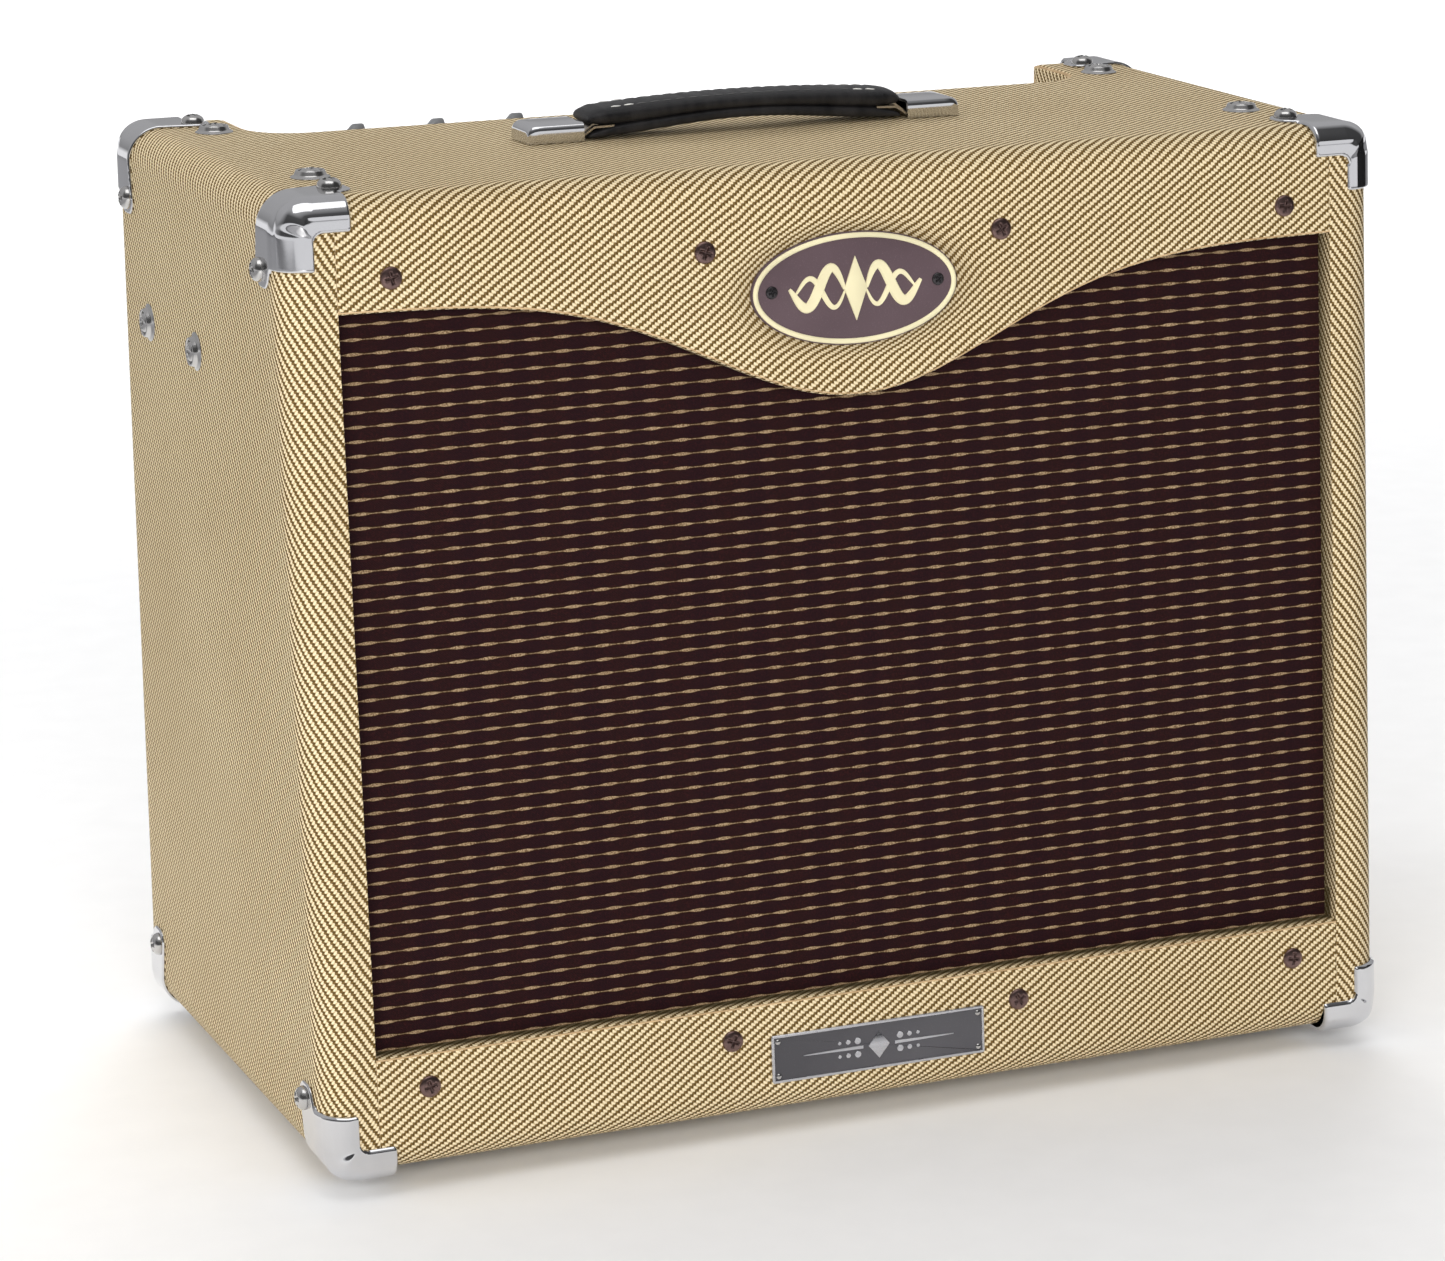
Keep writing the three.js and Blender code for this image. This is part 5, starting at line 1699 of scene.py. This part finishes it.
def controls():
    knobs()
    for name in ("boost_button", "channel_button"):
        x = middle(name)[0]
        turned(
            f"{name}_cap", [(0, -8), (4.5, -8), (4.5, 4.6), (3.2, 5.1), (0, 4.7)], BLACK_PLASTIC, on_panel(x),
            40, [0, 0.3, 1.0, 0.8, 0], body=name, slot="black_plastic", replaces=[name],
        )
    nose = fillet(
        [(3.6, -24), (6.0, -24), (6.0, 2.6), (5.2, 3.2), (3.9, 3.2), (3.6, 2.6)], [0, 0, 0.4, 0.4, 0.3, 0], 3,
    )
    nose = list(nose) + [(3.6, -24)]
    nut, washer = nut_mesh(14.5, 2.2, 6.2), washer_mesh(9.2, 6.2, 0.9)
    turned_parts = []
    for name in ("input_jack_low", "input_jack_high", "footswitch_jack", "speaker_jack"):
        x, _, z = middle(name)
        if name.startswith("input"):
            base, raised = on_panel(x), on_panel(x, CONTROL_ROW, 0.9)
        else:
            base, raised = on_rear(x, z), on_rear(x, z, REAR_PLATE + 0.9)
        turned(f"{name}_nose", nose, BLACK_PLASTIC, base, 48, slot="black_plastic", replaces=[name])
        turned_parts += [placed(nut, raised), placed(washer, base)]
    for name in ("power_toggle", "standby_toggle"):
        x = middle(name)[0]
        tilt = on_rear(x, TOGGLE_Z, REAR_PLATE - 3.0) @ Matrix.Rotation(math.radians(12.5), 4, "X")
        bat = fillet(
            [(0, -6), (2.6, -6), (2.6, -4), (1.9, 0), (2.1, 6), (2.9, 12.4), (2.5, 14.4), (0, 15)],
            [0, 0, 0, 0.5, 3, 2, 1.4, 0], 4,
        )
        turned(f"{name}_bat", bat, CHROME, tilt, 32, body=name, slot="toggle_steel", replaces=[name])
        turned_parts += [
            placed(nut_mesh(11, 2.0, 4.6), on_rear(x, TOGGLE_Z, REAR_PLATE + 0.7)),
            placed(washer_mesh(7.6, 4.6, 0.7), on_rear(x, TOGGLE_Z)),
        ]
    assembly("nuts_and_washers", turned_parts, NICKEL, 40, slot="chrome")

    x = middle("pilot_lamp")[0]
    bezel = fillet(
        [(6.2, 0.3), (9, 0.3), (9, 2.0), (7.4, 3.2), (6.3, 3.4), (6.2, 0.3)], [0, 0.2, 0.5, 0.4, 0.2, 0], 3,
    )
    turned("lamp_bezel", bezel, CHROME, on_panel(x), 40, slot="chrome", replaces=["pilot_lamp"])
    facets = [(0, -8), (5, -8), (5, 0.3), (6.1, 0.4), (6.0, 4.4), (4.6, 6.8), (2.4, 8.4), (0, 8.9)]
    verts, faces = lathe(facets, 12)
    build("lamp_jewel", verts, faces, JEWEL, slot="lamp_jewel", place=on_panel(x), smooth=False)

    x, _, z = middle("mains_inlet")
    place = on_rear(x, z)
    mouth = [(-12, -7.5), (12, -7.5), (12, 5), (8, 7.5), (-8, 7.5), (-12, 5)]
    ring = fillet([mouth[-1]] + mouth + [mouth[0], mouth[1]], [0] + [1.2] * 7 + [0], 4)[1:-1]
    outer = np.array(rounded_rectangle(32, 24, 3.0, 5))
    steps = 72
    inner = resample(ring[:-1], steps, math.pi)
    outer = resample(outer, steps, math.pi)
    rows = [
        (outer, 0.3), (outer, 1.8), (offset_loop(outer, 0.6), 2.4), (offset_loop(inner, -0.5), 2.4),
        (inner, 1.9), (inner, -16),
    ]
    verts = [p for loop, height in rows for p in lifted(loop, height)]
    faces = grid_faces(len(rows), steps, wrap_columns=True) + [
        list(range((len(rows) - 1) * steps, len(rows) * steps)),
    ]
    crisp(
        build("inlet_shell", verts, faces, BLACK_PLASTIC, place=place, slot="black_plastic", closed=False),
        40,
    )
    pins = [
        placed(
            slab_mesh(rounded_rectangle(4.0, 2.0, 0.4), -16, -3, 0.4, 2),
            Matrix.Translation((px, py, 0)) @ spin(math.pi / 2),
        )
        for px, py in ((-7, -1.5), (0, 1.5), (7, -1.5))
    ]
    assembly("inlet_pins", pins, NICKEL, 40, place=place, slot="black_plastic")

    x, _, z = middle("fuse_holder")
    turned(
        "fuse_cap",
        [(0, -25), (6, -25), (6, 0.3), (8, 0.3), (8, 2), (6.4, 2.4), (6.2, 8), (5.4, 8.8), (0, 8.8)],
        BLACK_PLASTIC, on_rear(x, z), 48, [0, 0, 0, 0.2, 0.5, 0.3, 0.6, 0.4, 0], slot="black_plastic",
        replaces=["fuse_holder"],
    )
    dial_marks()


def resample(loop, count, start_angle):
    """A closed loop cut at equal angles from its middle, so that two loops match."""
    loop = np.asarray(loop, float)
    out = []
    for k in range(count):
        a = start_angle + 2 * math.pi * k / count
        d = np.array([math.cos(a), math.sin(a)])
        best = 0.0
        for p, q in zip(loop, np.roll(loop, -1, 0)):
            e = q - p
            det = d[0] * -e[1] + d[1] * e[0]
            if abs(det) < 1e-12:
                continue
            t = (p[0] * -e[1] + p[1] * e[0]) / det
            s = (d[0] * p[1] - d[1] * p[0]) / det
            if t > 0 and -1e-9 <= s <= 1 + 1e-9:
                best = max(best, t)
        out.append(d * best)
    return np.array(out)


controls()

# ---------------------------------------------------------------- under the chassis


def valve(node, tall):
    """Glass, anode, mica plates and getter of one valve."""
    c = middle(node)
    high = span(node)[1][2] - 5
    place = axes((1, 0, 0), (0, -1, 0), (0, 0, -1), (c[0], c[1], high))
    glass = fillet(
        [
            (0, -4), (8, -4), (8, 2), (11, 3), (11, tall - 10), (6.5, tall - 3), (2.2, tall - 0.6),
            (1.2, tall + 1), (0, tall + 1),
        ],
        [0, 0.5, 1, 1.5, 4.5, 3.5, 1.5, 0.3, 0], 5,
    )
    turned(f"{node}_glass", glass, GLASS, place, 40, slot="valve_glass", replaces=[node])
    anode = rounded_rectangle(11.5, 8.5, 2.5, 4)
    inner = [slab_mesh(anode, 9, tall - 16, 0.4, 2)]
    for side in (-1, 1):
        fin = [(side * 5.5, -0.4), (side * 8.2, -0.4), (side * 8.2, 0.4), (side * 5.5, 0.4)][::side]
        inner.append(slab_mesh(fin, 10, tall - 17, 0.1, 1))
    assembly(f"{node}_anode", inner, ANODE, 40, place=place, slot="valve_glass")
    mica = [slab_mesh(oval(9.6, 9.6, 32), z, z + 0.5, 0.1, 1) for z in (8.2, tall - 15.6)]
    assembly(f"{node}_mica", mica, CREAM, 40, place=place, slot="valve_glass")
    flash = fillet(
        [(10.2, tall - 12.5), (10.2, tall - 10.5), (6.0, tall - 4.2), (0, tall - 2.4)], [0, 1.5, 3, 0], 5,
    )
    shell = list(flash) + [
        (0, tall - 3.0), (5.8, tall - 4.8), (9.9, tall - 10.7), (9.9, tall - 12.5), (10.2, tall - 12.5),
    ]
    turned(f"{node}_getter", shell, GETTER, place, 40, slot="valve_glass")


def under_chassis():
    for node in [f"power_tube_{k}" for k in (1, 2, 3, 4)]:
        valve(node, 64)
    for node in [f"preamp_tube_{k}" for k in (1, 2, 3)]:
        valve(node, 50)
    bolts = []
    bolt, pin = nut_mesh(7, 3, 1.8), lathe([(0, 4.4), (1.6, 4.2), (1.8, 3.6), (1.8, 0), (0, 0)], 16)
    for node in ("power_transformer", "output_transformer"):
        low, high = span(node)
        c = (low + high) / 2
        face = c[1] + (high[1] - low[1]) / 4 + 0.1
        for sx in (-1, 1):
            for sz in (-1, 1):
                x = c[0] + sx * ((high[0] - low[0]) / 2 - 6)
                spot = on_rear(x, c[2] + sz * ((high[2] - low[2]) / 2 - 6), face)
                bolts += [placed(bolt, spot), placed(pin, spot)]
        wound = slab_mesh(
            rounded_rectangle((high[1] - low[1]) - 2, (high[2] - low[2]) * 0.6 + 1.6, 9, 6),
            -(high[0] - low[0]) / 3.4 + 0.8, (high[0] - low[0]) / 3.4 - 0.8, 2.0, 3,
        )
        grown = np.array(wound[0]) * [1.035, 1.02, 1.0]
        build(
            f"winding_{node}", grown, wound[1], WINDING, place=axes((0, 1, 0), (0, 0, 1), (1, 0, 0), c),
            slot="core_iron",
        )
    assembly("transformer_bolts", bolts, NICKEL, 40, slot="core_iron")
    head = cross_head(3.4, 1.6, 0.4)
    spots = [on_rear(x, 319.0, REAR_PLATE - 2.0) for x in (-188.0, -62.0, 62.0, 188.0)]
    several("guard_screws", head, spots, NICKEL, slot="guard_steel")
    head = cross_head(3.0, 1.4, 0.4)
    spots = [on_rear(x, z) for x in (-214.0, 214.0) for z in (334.0, 378.0)]
    several("chassis_screws", head, spots, NICKEL, slot="chrome")


under_chassis()

# ---------------------------------------------------------------- speaker

SPEAKER_Z = 190.0
BAFFLE_BACK = 27.0  # from the front face to the back of the baffle board
BOLT_CIRCLE = 147.5  # radius


def speaker():
    place = on_front(0, SPEAKER_Z, -BAFFLE_BACK)
    flip = place @ Matrix.Rotation(math.pi, 4, "X")
    wall = fillet(
        [(154.5, 0.3), (154.5, 4), (145, 5.5), (138, 27), (65, 88), (31, 88)], [0, 1.0, 2.5, 6, 6, 0], 4,
    )
    lengths = arc_lengths(wall)
    stations = np.linspace(0, lengths[-1], 60)
    section = np.stack(
        [np.interp(stations, lengths, wall[:, 0]), np.interp(stations, lengths, wall[:, 1])], 1,
    )
    around = 144
    verts = [
        (r * math.cos(2 * math.pi * k / around), r * math.sin(2 * math.pi * k / around), d)
        for r, d in section
        for k in range(around)
    ]
    faces = []
    for i, face in enumerate(grid_faces(len(section), around, wrap_columns=True)):
        row, column = divmod(i, around)
        radius = (section[row][0] + section[row + 1][0]) / 2
        angle = (360 * (column + 0.5) / around) % 60 - 30
        # six windows between the spokes, narrower at their ends
        window = 76 < radius < 121 and abs(angle) < 17.6 - (2.4 if radius < 79 or radius > 118 else 0)
        if not window:
            faces.append(face)
    basket = build(
        "speaker_frame", verts, faces, BLACK_ENAMEL, slot="basket_steel", place=flip, closed=False,
        replaces=["speaker_basket"],
    )
    face_out(basket, (0, -0.11, 0.19))
    basket.modifiers[0].thickness = 1.6 * MM
    basket.modifiers[0].offset = -1

    ridges = [
        (126 - 87 * t, 6.5 + 55 * t - 0.35 * math.cos(t * 2 * math.pi * 9))
        for t in np.linspace(0, 1, 55)
    ]
    roll = [(136.5 - 9.5 * t, 6.2 - 1.5 * abs(math.sin(t * math.pi * 2))) for t in np.linspace(0, 1, 21)]
    dome = [(38 * math.cos(a), 60 - 14 * math.sin(a)) for a in np.linspace(0.05, math.pi / 2, 14)]
    front_side = roll + ridges + dome[:-1] + [(0, 46)]
    back_side = [(r, d + 1.2) for r, d in front_side[:-1]][::-1]
    profile = front_side + [(0, 47.2)] + back_side + [front_side[0]]
    verts, faces = lathe(profile, 96)
    crisp(
        build(
            "paper_cone", verts, faces, PAPER, "speaker_cone", "cone_paper", place=flip,
            replaces=["speaker_cone"],
        ),
        60,
    )

    turned(
        "magnet_plates", [(0, 88.3), (60, 88.3), (60, 95), (0, 95)], ZINC, flip, 96, [0, 0.6, 0.6, 0],
        slot="basket_steel", replaces=["speaker_magnet"],
    )
    turned(
        "magnet_ring", [(0, 95), (78, 95), (78, 116), (0, 116)], FERRITE, flip, 96, [0, 1.5, 1.5, 0],
        slot="basket_steel",
    )
    turned(
        "magnet_cap", [(0, 116), (66, 116), (58, 123), (12, 123), (10, 120.5), (0, 120.5)], BLACK_ENAMEL,
        flip, 96, [0, 0, 3, 1.2, 0.8, 0], slot="basket_steel",
    )
    nut, pin = nut_mesh(8, 3, 2.2), lathe([(0, 8), (1.8, 7.8), (2.1, 7.3), (2.1, 0), (0, 0)], 16)
    bolts = []
    for k in range(8):
        a = 2 * math.pi * (k + 0.5) / 8
        spot = flip @ Matrix.Translation((BOLT_CIRCLE * math.cos(a), BOLT_CIRCLE * math.sin(a), 4.6))
        bolts += [placed(nut, spot), placed(pin, spot)]
    assembly("speaker_bolts", bolts, NICKEL, 40, slot="basket_steel")


speaker()

# ---------------------------------------------------------------- feet


def feet():
    for end in ("front", "rear"):
        for side in ("left", "right"):
            node = f"foot_{end}_{side}"
            c = middle(node)
            place = Matrix.Translation((c[0], c[1], 0))
            profile = [
                (4.6, 0), (16, 0), (19, 2.2), (18, BASE - CLOTH), (0, BASE - CLOTH), (0, 5.5), (4.6, 5.0),
                (4.6, 0),
            ]
            turned(
                f"rubber_{end}_{side}", profile, RUBBER, place, 56, [0, 1.2, 1.4, 0.6, 0, 0, 0.4, 0],
                slot="rubber", replaces=[node],
            )
            v, f = placed(
                cross_head(3.8, 1.6, 0.4), axes((1, 0, 0), (0, -1, 0), (0, 0, -1), (c[0], c[1], 5.2)),
            )
            crisp(build(f"foot_screw_{end}_{side}", v, f, NICKEL, slot="rubber"), 50)


feet()
